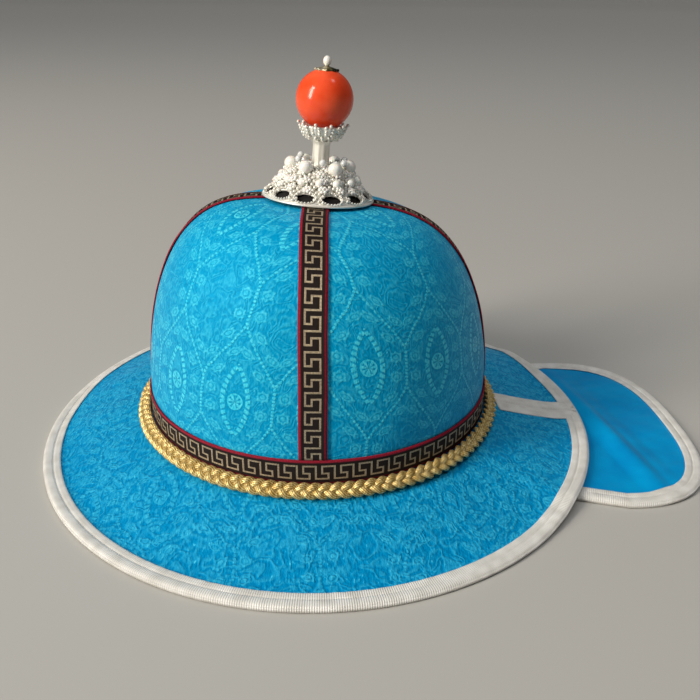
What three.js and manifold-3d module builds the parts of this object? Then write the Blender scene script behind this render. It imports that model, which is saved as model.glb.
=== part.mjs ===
// A mongolian summer hat: a domed crown of four brocade panels with woven key ribbon over its seams,
// a round sloping brim that is slit at the back, a neck flap under the slit, and a coral and pearl finial.
// Millimetres, +Z up, +X to the back of the hat, the wearer's left side towards -Y.
import * as THREE from "three";
import Module from "manifold-3d";
import { mergeVertices } from "three/addons/utils/BufferGeometryUtils.js";

const wasm = await Module();
wasm.setup();

// Driving dimensions
const GAP = 0.3; // air between pieces that touch on the real hat

const CROWN_RADIUS = 97.6; // outside of the crown at the head band
const CROWN_WALL = 2.4; // brocade over stiff felt
const BAND_TOP = 37.1; // top edge of the band above the table
const DOME_HEIGHT = 103; // from the band's top edge to the top of the dome
const DOME_POWER_ACROSS = 3.89; // superellipse powers of the dome's outline
const DOME_POWER_UP = 1.81;
const TOP_TILT = { back: 3.6, right: 3.5 }; // degrees that the handmade top sinks to the back and the right
const PIN_HOLE_RADIUS = 4.2; // hole in the top of the crown for the finial's pin
const PANEL_STEPS = 9; // facets round one panel
const DOME_ANGLES = [0, 8, 16, 26, 38, 50, 62, 72, 80, 86]; // rows of facets up the dome, in degrees

const SEAM_TURN = -1.8; // degrees that the four seams are turned from the hat's axes
const SEAMS = { left: -90, back: 0, right: 90, front: 180 }; // seam ribbons and their azimuths
const RIBBON_WIDTH = 14; // woven key ribbon
const RIBBON_THICKNESS = 1;
const RIBBON_TOP_RADIUS = 10.6; // where the seam ribbons end under the finial

const BRAID_WIDTH = 7.8; // plaited gold cord round the foot of the band
const BRAID_HEIGHT = 6.8;
const BRAID_LOBES = 40;

const BRIM_RADIUS = 161; // outer edge of the binding
const BRIM_SHEET = 1.5; // thickness of the brim and the flap
const BRIM_ROOT_HEIGHT = 19.4; // middle of the sheet at the crown
const HEM_WIDTH = 9.5; // silver binding ribbon, which also lies flat on the table
const BINDING_WALL = 0.6;
const REST_HEIGHT = BRIM_SHEET / 2 + GAP + BINDING_WALL; // middle of a bound sheet that lies on the table
const BRIM_EASE = 0.12; // how softly the slope starts at the hem
const SLIT_AZIMUTH = -0.8; // at the hem
const SLIT_SKEW = 0.085; // degrees that the slit turns for each millimetre in from the hem
const SLIT_HALF_WIDTH = 0.3;
const BRIM_STEPS = 48;
const SLIT_START = 107.4; // the slit's binding starts here, outside the braid
const SLOPE_RADII = [112, 126, 138, 146, 151.5]; // bends of the faceted slope, the last at the hem
const SLIT_LINE = SLIT_HALF_WIDTH + HEM_WIDTH + 1; // a line of facets just past the slit's binding

// How far the flap under it lifts the brim's edge at the back
const EDGE_LIFT = [
  { azimuth: -180, height: 0 },
  { azimuth: -50, height: 0 },
  { azimuth: -46, height: 0.2 },
  { azimuth: -40, height: 1.6 },
  { azimuth: -33.5, height: 4.1 },
  { azimuth: 29.2, height: 4.1 },
  { azimuth: 36.7, height: 1.2 },
  { azimuth: 44.2, height: 0 },
  { azimuth: 180, height: 0 },
];

// Where the brim slopes on to its very edge, from 0, a hem that lies flat, to 1, one that slopes with the brim
const HEM_SLOPE = [
  { azimuth: -180, height: 0.5 },
  { azimuth: -166, height: 0 },
  { azimuth: 8, height: 0 },
  { azimuth: 28, height: 1 },
  { azimuth: 158, height: 1 },
  { azimuth: 180, height: 0.5 },
];
const SLOPED_EASE = 0.03; // the ease of a sloping hem
const SLOPED_BULGE = 2; // how far the brim bulges up half way down, above a sloping hem

// The flap: a tongue with a round end, from the crown's foot out over the table
const FLAP_CENTRE = { x: 162, y: -11 }; // centre of the round end
const FLAP_END_LENGTH = 60;
const FLAP_HALF_WIDTH = 81.5;
const FLAP_END_POWER = 2.6; // superellipse power of the round end
const FLAP_ROOT_RADIUS = 97.6;
const FLAP_ROOT_SPREAD = 43; // degrees either side of the back
const FLAP_SIDE_BENDS = [0, 0.15, 0.3, 0.45, 0.6, 0.75, 0.88]; // shares of its straight sides, from the root
const FLAP_BOUND_FROM = 2; // the bend where its binding starts, under the brim
const FLAP_RINGS = [0, 0.3, 0.6, 0.85, 1]; // rings of facets from the flap's middle to its hem
const FLAP_DROP_ROOT = BRIM_SHEET + GAP; // from the middle of the brim down to the middle of the flap
const FLAP_DROP_EDGE = 2 * REST_HEIGHT + GAP + 0.5; // the same where both are bound
const FLAP_DROP_RADII = [99, 118]; // between these it goes from the one to the other
const FLAP_FREE_RADIUS = 175; // from here the brim no longer shapes it
const FLAP_SIDE_POWER = 2.2; // how flat its middle is before it falls to its sides
// Height above rest of the soft fold in the flap beyond the brim; the fold runs slightly askew
const FLAP_FOLD_SKEW = 0.19;
const FLAP_FOLD = [
  { x: 148, height: 0 },
  { x: 158, height: 0.5 },
  { x: 168, height: 3.2 },
  { x: 178, height: 2.6 },
  { x: 192, height: 1.2 },
  { x: 215, height: 0 },
];

// The finial, measured along its own leaning axis from the underside of its rim
const FINIAL_SEAT = 104.4; // above the band's top edge
const FINIAL_SHIFT = 0.3; // towards the back
const FINIAL_LEAN = { back: 4.4, right: 4 }; // degrees
const RIM_RADIUS = 30.2;
const RIM_THICKNESS = 2;
const BASE_BEND = { radius: 18.5, height: 9.6 }; // where the pierced cone turns steeper
const BASE_SHOULDER = { radius: 16.8, height: 12.8 }; // where it meets its flat top
const OPENINGS = 12;
const OPENING = { width: 10.8, height: 4, centre: 5.2 };
const PEARL_RADIUS = 3.75;
const PEARLS = 6;
const PEARL_RING_RADIUS = 15.4;
const BEADS = { count: 14, radius: 2.3 };
const BEAD_COLLAR = { low: 7.6, high: 9.5, wall: 0.9 }; // silver strip on the cone that carries the beads
const POST_RADIUS = 4.1;
const PIN_RADIUS = 2.5;
const PIN_HEAD_RADIUS = 11;
const CUP_FOOT = { radius: 8, height: 30.2 };
const CUP_RIM = { radius: 12.7, height: 37.4 };
const CUP_SCALLOPS = 10;
const BALL_RADIUS = 15;
const BALL_CENTRE = 50.6;
const CAP_RADIUS = 6.4;
const TOP_PEARL = { radius: 2.3, halfHeight: 2.8 };

// Materials
const material = (colour, roughness, metalness = 0) =>
  new THREE.MeshStandardMaterial({ color: colour, roughness, metalness });
const brocade = material(0x1292c8, 0.45);
const satin = material(0x0f8fd0, 0.4);
const keyRibbon = material(0x3a2420, 0.6);
const goldCord = material(0xc9a24e, 0.35, 0.6);
const silverRibbon = material(0xd9d6cc, 0.45);
const silver = material(0xd8d4ca, 0.3, 0.9);
const pearl = material(0xf2eee4, 0.25);
const coral = material(0xf0502c, 0.15);

// Small helpers
const radians = THREE.MathUtils.degToRad;
const point = (x, y, z) => new THREE.Vector3(x, y, z);

// Value at a place in a table, eased with a cosine between two of its rows
function tableValue(table, key, at) {
  const next = table.findIndex((row) => row[key] >= at);
  if (next <= 0) return table[next === 0 ? 0 : table.length - 1].height;
  const [low, high] = [table[next - 1], table[next]];
  const share = (at - low[key]) / (high[key] - low[key]);
  return low.height + (high.height - low.height) * (0.5 - 0.5 * Math.cos(Math.PI * share));
}

// One closed body from a list of points and triangles, with double points merged and the faces out
function closedBody(points, triangles) {
  const loose = new THREE.BufferGeometry();
  loose.setAttribute("position", new THREE.Float32BufferAttribute(points.flatMap((p) => [p.x, p.y, p.z]), 3));
  loose.setIndex(triangles.flat());
  return withoutSlivers(loose);
}

// Merged points, no triangle that has two corners in one point, and a positive volume
function withoutSlivers(geometry) {
  geometry.deleteAttribute("normal");
  geometry.deleteAttribute("uv");
  const merged = mergeVertices(geometry, 1e-4);
  const [place, index] = [merged.attributes.position, merged.index.array];
  const kept = [];
  let volume = 0;
  const corners = [point(), point(), point()];
  for (let i = 0; i < index.length; i += 3) {
    const [a, b, c] = index.slice(i, i + 3);
    if (a === b || b === c || c === a) continue;
    [a, b, c].forEach((v, k) => corners[k].fromBufferAttribute(place, v));
    volume += corners[0].dot(corners[1].clone().cross(corners[2]));
    kept.push([a, b, c]);
  }
  merged.setIndex(volume < 0 ? kept.flatMap(([a, b, c]) => [a, c, b]) : kept.flat());
  return merged;
}

// A wall with two faces. Each row holds a chain of points on one face and a chain on the other.
// The rows run along the wall, and join up again if the wall is a ring. Each quad is split along its
// lower diagonal, so that two walls that follow one surface keep their gap.
function wall(rows, ring = false) {
  const chain = rows[0].outer.length;
  const points = rows.flatMap((row) => [...row.outer, ...row.inner]);
  const at = (row, side, i) => (row % rows.length) * 2 * chain + side * chain + i;
  const triangles = [];
  const quad = (a, b, c, d) => {
    const alongOther = points[b].z + points[d].z < points[a].z + points[c].z - 1e-6;
    triangles.push(...(alongOther ? [[a, b, d], [b, c, d]] : [[a, b, c], [a, c, d]]));
  };
  for (let k = 0; k < (ring ? rows.length : rows.length - 1); k++) {
    for (let i = 0; i < chain - 1; i++) {
      quad(at(k, 0, i), at(k + 1, 0, i), at(k + 1, 0, i + 1), at(k, 0, i + 1));
      quad(at(k, 1, i), at(k, 1, i + 1), at(k + 1, 1, i + 1), at(k + 1, 1, i));
    }
    quad(at(k, 0, 0), at(k, 1, 0), at(k + 1, 1, 0), at(k + 1, 0, 0));
    quad(at(k, 0, chain - 1), at(k + 1, 0, chain - 1), at(k + 1, 1, chain - 1), at(k, 1, chain - 1));
  }
  if (!ring) {
    const last = rows.length - 1;
    for (let i = 0; i < chain - 1; i++) {
      quad(at(0, 0, i), at(0, 0, i + 1), at(0, 1, i + 1), at(0, 1, i));
      quad(at(last, 0, i), at(last, 1, i), at(last, 1, i + 1), at(last, 0, i + 1));
    }
  }
  return closedBody(points, triangles);
}

// A turned piece from a closed profile of [radius, height] corners
function turned(profile, sides) {
  const corners = profile.map(([radius, height]) => new THREE.Vector2(radius, height));
  corners.push(corners[0].clone());
  const geometry = new THREE.LatheGeometry(corners, sides);
  geometry.rotateX(Math.PI / 2);
  return withoutSlivers(geometry);
}

function ball(radius, round, high) {
  const geometry = new THREE.SphereGeometry(radius, round, high);
  geometry.rotateX(Math.PI / 2);
  return withoutSlivers(geometry);
}

// Cutting and joining
function toSolid(geometry) {
  const vertProperties = Float32Array.from(geometry.attributes.position.array);
  const triVerts = Uint32Array.from(geometry.index.array);
  return new wasm.Manifold(new wasm.Mesh({ numProp: 3, vertProperties, triVerts }));
}

function toGeometry(solid) {
  const mesh = solid.getMesh();
  const geometry = new THREE.BufferGeometry();
  geometry.setAttribute("position", new THREE.Float32BufferAttribute(mesh.vertProperties, 3));
  geometry.setIndex([...mesh.triVerts]);
  return geometry;
}

// The crown's surface
// Radius and height above the band of the dome's outline at an angle, moved out along its normal
function domeOutline(angle, out) {
  const curve = (a) => [
    CROWN_RADIUS * Math.cos(a) ** (2 / DOME_POWER_ACROSS),
    DOME_HEIGHT * Math.sin(a) ** (2 / DOME_POWER_UP),
  ];
  const step = 0.002;
  const [r, h] = curve(angle);
  const [r1, h1] = curve(Math.max(angle - step, 0));
  const [r2, h2] = curve(Math.min(angle + step, Math.PI / 2));
  const length = Math.hypot(r2 - r1, h2 - h1);
  return [r + (out * (h2 - h1)) / length, h - (out * (r2 - r1)) / length];
}

// Angle at which the dome's outline has a radius
const angleAtRadius = (radius) => Math.acos((radius / CROWN_RADIUS) ** (DOME_POWER_ACROSS / 2));

// A point at a radius, a height above the band and a distance to the left of a seam or edge,
// with the top of the dome sunk to one side
function onCrown(radius, height, azimuth, aside = 0) {
  const turn = radians(azimuth) + Math.asin(aside / radius);
  const [x, y] = [radius * Math.cos(turn), radius * Math.sin(turn)];
  const slope = Math.tan(radians(TOP_TILT.back)) * x + Math.tan(radians(TOP_TILT.right)) * y;
  return point(x, y, BAND_TOP + height - slope * Math.max(height / DOME_HEIGHT, 0) ** 2);
}

function crownPanel(firstSeam) {
  const foot = BRIM_ROOT_HEIGHT + BRIM_SHEET / 2 + GAP - BAND_TOP;
  const angles = [...DOME_ANGLES.map(radians), angleAtRadius(PIN_HOLE_RADIUS)];
  const outline = (out) => [[CROWN_RADIUS + out, foot], ...angles.map((a) => domeOutline(a, out))];
  const [outer, inner] = [outline(0), outline(-CROWN_WALL)];
  inner[inner.length - 1][0] = PIN_HOLE_RADIUS;
  const rows = [];
  for (let k = 0; k <= PANEL_STEPS; k++) {
    // The two side walls stand half a gap from the seam, and the facets between them are even
    const aside = GAP / 2 - (GAP * k) / PANEL_STEPS;
    const azimuth = firstSeam + (90 * k) / PANEL_STEPS;
    rows.push({
      outer: outer.map(([r, h]) => onCrown(r, h, azimuth, aside)),
      inner: inner.map(([r, h]) => onCrown(r, h, azimuth, aside)),
    });
  }
  return wall(rows);
}

function seamRibbon(azimuth) {
  const angles = [radians(0.8), ...DOME_ANGLES.slice(1).map(radians), angleAtRadius(RIBBON_TOP_RADIUS)];
  const across = [-0.5, 0, 0.5].map((share) => share * RIBBON_WIDTH);
  const chain = (angle, out) => {
    const [r, h] = domeOutline(angle, out);
    return across.map((aside) => onCrown(r, h, azimuth, aside));
  };
  return wall(angles.map((a) => ({ outer: chain(a, GAP + RIBBON_THICKNESS), inner: chain(a, GAP) })));
}

function crownBand() {
  const rows = [];
  const steps = PANEL_STEPS * 8;
  for (let k = 0; k < steps; k++) {
    const chain = (r) => [-RIBBON_WIDTH, 0].map((h) => onCrown(r, h, SEAM_TURN + (360 * k) / steps));
    rows.push({ outer: chain(CROWN_RADIUS + GAP + RIBBON_THICKNESS), inner: chain(CROWN_RADIUS + GAP) });
  }
  return wall(rows, true);
}

// A ring of plaited lobes that lies on the brim against the foot of the band
function goldBraid() {
  const middleRadius = CROWN_RADIUS + RIBBON_THICKNESS + 2 * GAP + BRAID_WIDTH / 2;
  const rows = [];
  for (let k = 0; k < BRAID_LOBES * 2; k++) {
    const azimuth = (180 * k) / BRAID_LOBES;
    const swell = k % 2 ? 1 : 0.84;
    const bottom = brimHeight(middleRadius - BRAID_WIDTH / 2, azimuth) + BRIM_SHEET / 2 + GAP;
    const corner = (degrees) => {
      const across = (swell * BRAID_WIDTH * Math.cos(radians(degrees))) / 2;
      const up = (BRAID_HEIGHT / 2) * (1 + Math.sin(radians(degrees)) * (degrees > 0 ? swell : 1));
      return onCrown(middleRadius + across, bottom + up - BAND_TOP, azimuth);
    };
    rows.push({
      outer: [180, 125, 55, 0].map(corner),
      inner: [-180, -125, -55, 0].map(corner),
    });
  }
  return wall(rows, true);
}

// The brim's surface: height of the middle of the sheet above the table
function brimHeight(radius, azimuth) {
  const turn = ((azimuth + 540) % 360) - 180;
  const edge = REST_HEIGHT + tableValue(EDGE_LIFT, "azimuth", turn);
  const sloped = tableValue(HEM_SLOPE, "azimuth", turn);
  const hem = BRIM_RADIUS - HEM_WIDTH * (1 - sloped);
  const inward = THREE.MathUtils.clamp((hem - radius) / (hem - CROWN_RADIUS), 0, 1);
  const softness = BRIM_EASE + (SLOPED_EASE - BRIM_EASE) * sloped;
  const ease = (s) => Math.hypot(s, softness) - softness;
  const bulge = 4 * SLOPED_BULGE * sloped * inward * (1 - inward);
  return edge + ((BRIM_ROOT_HEIGHT - edge) * ease(inward)) / ease(1) + bulge;
}

// Azimuth of the slit at a radius
const slitAt = (radius) => SLIT_AZIMUTH - SLIT_SKEW * Math.max(BRIM_RADIUS - HEM_WIDTH - radius, 0);

const brimHeightAt = (x, y) => brimHeight(Math.hypot(x, y), THREE.MathUtils.radToDeg(Math.atan2(y, x)));

// A point of a sheet: a place in plan, lifted from the sheet's middle
const onSheet = (heightAt, place, lift) => point(place.x, place.y, heightAt(place.x, place.y) + lift);

// A point at a radius on a line that runs beside the radial line of an azimuth
const beside = (radius, azimuth, aside) => {
  const turn = radians(azimuth) + Math.asin(aside / radius);
  return new THREE.Vector2(radius * Math.cos(turn), radius * Math.sin(turn));
};

// A path's points moved to its left, mitred at each corner
function movedIn(path, distance) {
  const normal = (a, b) => new THREE.Vector2(a.y - b.y, b.x - a.x).normalize();
  const last = path.length - 1;
  return path.map((place, k) => {
    const before = normal(path[Math.max(k - 1, 0)], path[Math.max(k, 1)]);
    const after = normal(path[Math.min(k, last - 1)], path[Math.min(k + 1, last)]);
    const mitre = before.clone().add(after).normalize();
    return place.clone().addScaledVector(mitre, distance / mitre.dot(before));
  });
}

function brim() {
  const margin = BINDING_WALL + GAP; // what the binding takes from each edge of the sheet
  const radii = [CROWN_RADIUS - CROWN_WALL, CROWN_RADIUS + GAP, ...SLOPE_RADII, BRIM_RADIUS - margin];
  const lines = [];
  for (let k = 1; k < BRIM_STEPS; k++) lines.push({ turn: (360 * k) / BRIM_STEPS, aside: 0 });
  for (const aside of [SLIT_LINE, SLIT_HALF_WIDTH + margin]) {
    lines.unshift({ turn: 0, aside });
    lines.push({ turn: 0, aside: -aside });
  }
  return wall(lines.map(({ turn, aside }) => {
    const place = (r) => beside(r, slitAt(r) + turn, aside);
    const chain = (lift) => radii.map((r) => onSheet(brimHeightAt, place(r), lift));
    return { outer: chain(BRIM_SHEET / 2), inner: chain(-BRIM_SHEET / 2) };
  }));
}

// A ribbon folded over a sheet's edge: a U that is carried round a path in plan, with the sheet on its left
function binding(path, heightAt) {
  const near = BRIM_SHEET / 2 + GAP;
  const far = near + BINDING_WALL;
  const outside = [[HEM_WIDTH, far], [0, far], [0, -far], [HEM_WIDTH, -far]];
  const inside = [[HEM_WIDTH, near], [BINDING_WALL, near], [BINDING_WALL, -near], [HEM_WIDTH, -near]];
  const lines = (section) => section.map(([inward, lift]) =>
    movedIn(path, inward).map((place) => onSheet(heightAt, place, lift)));
  const [outer, inner] = [lines(outside), lines(inside)];
  const across = (chain, k) => chain.map((line) => line[k]);
  return wall(path.map((_, k) => ({ outer: across(outer, k), inner: across(inner, k) })));
}

// Out along one side of the slit, round the brim and back along the other side
function brimEdge() {
  const slitRadii = [SLIT_START, ...SLOPE_RADII, BRIM_RADIUS];
  const path = slitRadii.map((r) => beside(r, slitAt(r), SLIT_HALF_WIDTH));
  path.push(beside(BRIM_RADIUS, SLIT_AZIMUTH, SLIT_LINE));
  for (let k = 1; k < BRIM_STEPS; k++) {
    path.push(beside(BRIM_RADIUS, SLIT_AZIMUTH + (360 * k) / BRIM_STEPS, 0));
  }
  path.push(beside(BRIM_RADIUS, SLIT_AZIMUTH, -SLIT_LINE));
  return [...path, ...slitRadii.reverse().map((r) => beside(r, slitAt(r), -SLIT_HALF_WIDTH))];
}

// The flap's surface
// Under the brim it follows the brim, and beyond it lies on the table with one soft fold
function flapHeightAt(x, y) {
  const radius = Math.hypot(x, y);
  const dropped = THREE.MathUtils.smoothstep(radius, ...FLAP_DROP_RADII);
  const under = brimHeightAt(x, y) - FLAP_DROP_ROOT - (FLAP_DROP_EDGE - FLAP_DROP_ROOT) * dropped;
  const side = 1 - Math.min(Math.abs((y - FLAP_CENTRE.y) / FLAP_HALF_WIDTH), 1) ** FLAP_SIDE_POWER;
  const free = REST_HEIGHT + side * tableValue(FLAP_FOLD, "x", x + FLAP_FOLD_SKEW * y);
  const beyond = THREE.MathUtils.smoothstep(radius, BRIM_RADIUS - HEM_WIDTH, FLAP_FREE_RADIUS);
  return Math.max(under + (free - under) * beyond, REST_HEIGHT);
}

// Round the flap from its root on the near side to its root on the far side
function flapEdge() {
  const end = [];
  const endSteps = 22;
  const round = (c) => Math.sign(c) * Math.abs(c) ** (2 / FLAP_END_POWER);
  for (let k = 0; k <= endSteps; k++) {
    const turn = radians(-90 + (180 * k) / endSteps);
    end.push(new THREE.Vector2(
      FLAP_CENTRE.x + FLAP_END_LENGTH * round(Math.cos(turn)),
      FLAP_CENTRE.y + FLAP_HALF_WIDTH * round(Math.sin(turn)),
    ));
  }
  const side = (turn, corner) => {
    const root = beside(FLAP_ROOT_RADIUS, turn, 0);
    return FLAP_SIDE_BENDS.map((share) => root.clone().lerp(corner, share));
  };
  return [...side(-FLAP_ROOT_SPREAD, end[0]), ...end, ...side(FLAP_ROOT_SPREAD, end[endSteps]).reverse()];
}

function backFlap() {
  const rootSteps = 6;
  const root = [];
  for (let k = 1; k < rootSteps; k++) {
    const turn = FLAP_ROOT_SPREAD * (1 - (2 * k) / rootSteps);
    root.push(beside(FLAP_ROOT_RADIUS, turn, 0));
  }
  const edge = [...movedIn(flapEdge(), BINDING_WALL + GAP), ...root];
  const hem = [...movedIn(flapEdge(), HEM_WIDTH), ...movedIn(root, HEM_WIDTH)];
  const middle = new THREE.Vector2(FLAP_CENTRE.x - 10, FLAP_CENTRE.y);
  return wall(edge.map((edgePlace, k) => {
    const places = [...FLAP_RINGS.map((share) => middle.clone().lerp(hem[k], share)), edgePlace];
    const chain = (lift) => places.map((place) => onSheet(flapHeightAt, place, lift));
    return { outer: chain(BRIM_SHEET / 2), inner: chain(-BRIM_SHEET / 2) };
  }), true);
}

const flapBinding = () => binding(flapEdge().slice(FLAP_BOUND_FROM, -FLAP_BOUND_FROM), flapHeightAt);

// The finial's pieces, upright, from the underside of the rim
function finialBase() {
  const sheet = 1; // thickness of the silver
  const hole = PIN_RADIUS + GAP;
  const inside = (corner) => [corner.radius - 0.5, corner.height - sheet];
  const cone = turned([
    [RIM_RADIUS, 0], [RIM_RADIUS, RIM_THICKNESS - 0.6], [RIM_RADIUS - 0.6, RIM_THICKNESS],
    [RIM_RADIUS - 1, RIM_THICKNESS], [BASE_BEND.radius, BASE_BEND.height],
    [BASE_SHOULDER.radius, BASE_SHOULDER.height], [hole, BASE_SHOULDER.height + 0.6],
    [hole, BASE_SHOULDER.height - sheet + 0.6], inside(BASE_SHOULDER), inside(BASE_BEND),
    [RIM_RADIUS - 3, RIM_THICKNESS - 0.6], [RIM_RADIUS - 3, 0],
  ], 24);
  const oval = new THREE.Shape();
  oval.absellipse(0, 0, OPENING.width / 2, OPENING.height / 2, 0, 2 * Math.PI);
  const bore = { depth: RIM_RADIUS, bevelEnabled: false, curveSegments: 5 };
  let solid = toSolid(cone);
  for (let k = 0; k < OPENINGS; k++) {
    const cutter = new THREE.ExtrudeGeometry(oval, bore);
    cutter.rotateX(Math.PI / 2); // the oval stands up and points along -Y
    cutter.translate(0, BASE_BEND.radius - RIM_RADIUS, OPENING.centre);
    cutter.rotateZ(radians((360 * (k + 0.5)) / OPENINGS));
    solid = solid.subtract(toSolid(withoutSlivers(cutter)));
  }
  return toGeometry(solid);
}

// A narrow silver collar round the cone that carries a row of fused beads
function beadField() {
  const [run, fall] = [RIM_RADIUS - 1 - BASE_BEND.radius, RIM_THICKNESS - BASE_BEND.height];
  const slope = new THREE.Vector2(run, fall).normalize();
  const onCone = (height, out) => {
    const down = (BASE_BEND.height - height) / -slope.y;
    return [BASE_BEND.radius + slope.x * down - slope.y * out, height + slope.x * out];
  };
  const { low, high, wall: thick } = BEAD_COLLAR;
  const corners = [[low, GAP], [low, GAP + thick], [high, GAP + thick], [high, GAP]];
  let solid = toSolid(turned(corners.map(([height, out]) => onCone(height, out)), 28));
  const [ring, height] = onCone((low + high) / 2, BEADS.radius + GAP + 0.2);
  for (let k = 0; k < BEADS.count; k++) {
    const bead = ball(BEADS.radius, 10, 5);
    bead.translate(ring, 0, height);
    bead.rotateZ((2 * Math.PI * (k + 0.5)) / BEADS.count);
    solid = solid.add(toSolid(bead));
  }
  return toGeometry(solid);
}

function finialPin() {
  const top = BASE_SHOULDER.height + 0.6;
  const head = -CROWN_WALL - 3.4;
  return turned([
    [0, top], [PIN_RADIUS, top], [PIN_RADIUS, head], [PIN_HEAD_RADIUS, head - 0.6],
    [PIN_HEAD_RADIUS, head - 2.2], [0, head - 2.2],
  ], 16);
}

function finialPost() {
  const [low, high] = [BASE_SHOULDER.height + 0.6 + GAP, CUP_FOOT.height - GAP];
  return turned([[0, low], [POST_RADIUS, low], [POST_RADIUS, high], [0, high]], 16);
}

// A saucer of petals that holds the ball
function finialCup() {
  const floor = BALL_CENTRE - BALL_RADIUS - GAP;
  const geometry = turned([
    [0, CUP_FOOT.height], [5.4, CUP_FOOT.height], [CUP_FOOT.radius, CUP_FOOT.height + 0.8],
    [CUP_RIM.radius, CUP_RIM.height - 0.9], [CUP_RIM.radius, CUP_RIM.height],
    [CUP_RIM.radius - 1.4, CUP_RIM.height - 0.6], [5.6, floor], [0, floor],
  ], CUP_SCALLOPS * 4);
  const place = geometry.attributes.position;
  for (let i = 0; i < place.count; i++) {
    const [x, y] = [place.getX(i), place.getY(i)];
    const rim = THREE.MathUtils.smoothstep(Math.hypot(x, y), CUP_FOOT.radius - 2, CUP_RIM.radius);
    const petal = 1 - 0.1 * rim * (0.5 - 0.5 * Math.cos(CUP_SCALLOPS * Math.atan2(y, x)));
    place.setXY(i, x * petal, y * petal);
  }
  return geometry;
}

function coralBall() {
  const geometry = ball(BALL_RADIUS, 20, 14);
  geometry.translate(0, 0, BALL_CENTRE);
  return geometry;
}

function ballCap() {
  const onBall = (radius, out) => [radius, BALL_CENTRE + Math.sqrt((BALL_RADIUS + out) ** 2 - radius ** 2)];
  const [, top] = onBall(0, 1.9);
  return turned([
    onBall(0, GAP), onBall(3.4, GAP), onBall(CAP_RADIUS, GAP), onBall(CAP_RADIUS, 1), onBall(3.4, 1.3),
    [1.3, top - 0.4], [1, top + 0.4], [0, top + 0.4],
  ], 20);
}

function topPearl() {
  const geometry = ball(1, 10, 7);
  geometry.scale(TOP_PEARL.radius, TOP_PEARL.radius, TOP_PEARL.halfHeight);
  const seat = BALL_CENTRE + BALL_RADIUS + 2.3 + GAP;
  geometry.translate(0, 0, seat + TOP_PEARL.halfHeight);
  return geometry;
}

// Assembly
const hat = new THREE.Group();
const piece = (name, geometry, look, group = hat) => {
  const mesh = new THREE.Mesh(geometry, look.clone());
  mesh.name = name;
  group.add(mesh);
  return mesh;
};

const seamAzimuths = Object.entries(SEAMS).map(([side, azimuth]) => ({ side, azimuth: azimuth + SEAM_TURN }));
seamAzimuths.forEach(({ side, azimuth }, k) => {
  const nextSide = seamAzimuths[(k + 1) % seamAzimuths.length].side;
  const ends = ["front", "back"].includes(side) ? [side, nextSide] : [nextSide, side];
  piece(`crown_panel_${ends.join("_")}`, crownPanel(azimuth), brocade);
  piece(`seam_ribbon_${side}`, seamRibbon(azimuth), keyRibbon);
});
piece("crown_band", crownBand(), keyRibbon);
piece("gold_braid", goldBraid(), goldCord);
piece("brim", brim(), brocade);
piece("brim_binding", binding(brimEdge(), brimHeightAt), silverRibbon);
piece("back_flap", backFlap(), satin);
piece("flap_binding", flapBinding(), silverRibbon);

const finial = new THREE.Group();
finial.position.set(FINIAL_SHIFT, 0, BAND_TOP + FINIAL_SEAT);
finial.rotation.set(radians(-FINIAL_LEAN.right), radians(FINIAL_LEAN.back), 0);
hat.add(finial);
piece("finial_pin", finialPin(), silver, finial);
piece("finial_base", finialBase(), silver, finial);
piece("bead_field", beadField(), pearl, finial);
for (let k = 0; k < PEARLS; k++) {
  const mesh = piece(`heap_pearl_${k + 1}`, ball(PEARL_RADIUS, 10, 7), pearl, finial);
  const turn = (2 * Math.PI * k) / PEARLS;
  const seat = BASE_SHOULDER.height + 0.2 + GAP;
  mesh.position.set(Math.cos(turn), Math.sin(turn), 0).multiplyScalar(PEARL_RING_RADIUS);
  mesh.position.z = seat + PEARL_RADIUS;
}
piece("finial_post", finialPost(), silver, finial);
piece("finial_cup", finialCup(), silver, finial);
piece("coral_ball", coralBall(), coral, finial);
piece("ball_cap", ballCap(), silver, finial);
piece("top_pearl", topPearl(), pearl, finial);

// The origin is the middle of the hat's box, on the table
hat.updateMatrixWorld(true);
const middle = new THREE.Box3().setFromObject(hat, true).getCenter(point());
hat.position.set(-middle.x, -middle.y, 0);

export default hat;
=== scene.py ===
import math
from functools import partial

import bpy
import numpy as np
from mathutils import Matrix, Vector


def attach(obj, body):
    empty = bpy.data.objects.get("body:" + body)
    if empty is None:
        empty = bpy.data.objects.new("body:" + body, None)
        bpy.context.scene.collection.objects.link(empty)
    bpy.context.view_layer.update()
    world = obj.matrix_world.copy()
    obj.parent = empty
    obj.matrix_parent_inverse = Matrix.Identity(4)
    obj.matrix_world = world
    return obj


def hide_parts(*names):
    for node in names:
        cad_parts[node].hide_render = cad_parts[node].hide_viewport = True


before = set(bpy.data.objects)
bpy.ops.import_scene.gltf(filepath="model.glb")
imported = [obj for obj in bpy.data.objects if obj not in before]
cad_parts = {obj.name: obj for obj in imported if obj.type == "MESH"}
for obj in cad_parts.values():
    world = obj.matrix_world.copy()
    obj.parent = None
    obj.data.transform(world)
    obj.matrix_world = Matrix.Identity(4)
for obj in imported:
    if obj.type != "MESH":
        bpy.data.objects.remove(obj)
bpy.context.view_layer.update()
rng = np.random.default_rng(7)

# The hat is worked out in millimetres from the crown's axis and the table
crown = {
    "axisX": -30.508,  # the crown's axis in the row frame
    "radius": 97.6,  # outside, at the top of the band
    "wall": 2.4,
    "bandTop": 37.1,
    "height": 103,  # from the band's top to the dome's
    "powerAcross": 3.89,  # how square the dome's outline is, across and up
    "powerUp": 1.81,
    "topTilt": (3.6, 3.5),  # degrees that the top sinks to the back and to the right
    "pinHole": 4.2,
    "seamTurn": -1.8,  # degrees
    "rowStep": 1.4,
    "puff": 0.35,  # how far the cloth lifts off the felt
    "foldSize": 46,
}
seams = {"left": -90, "back": 0, "right": 90, "front": 180}


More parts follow.
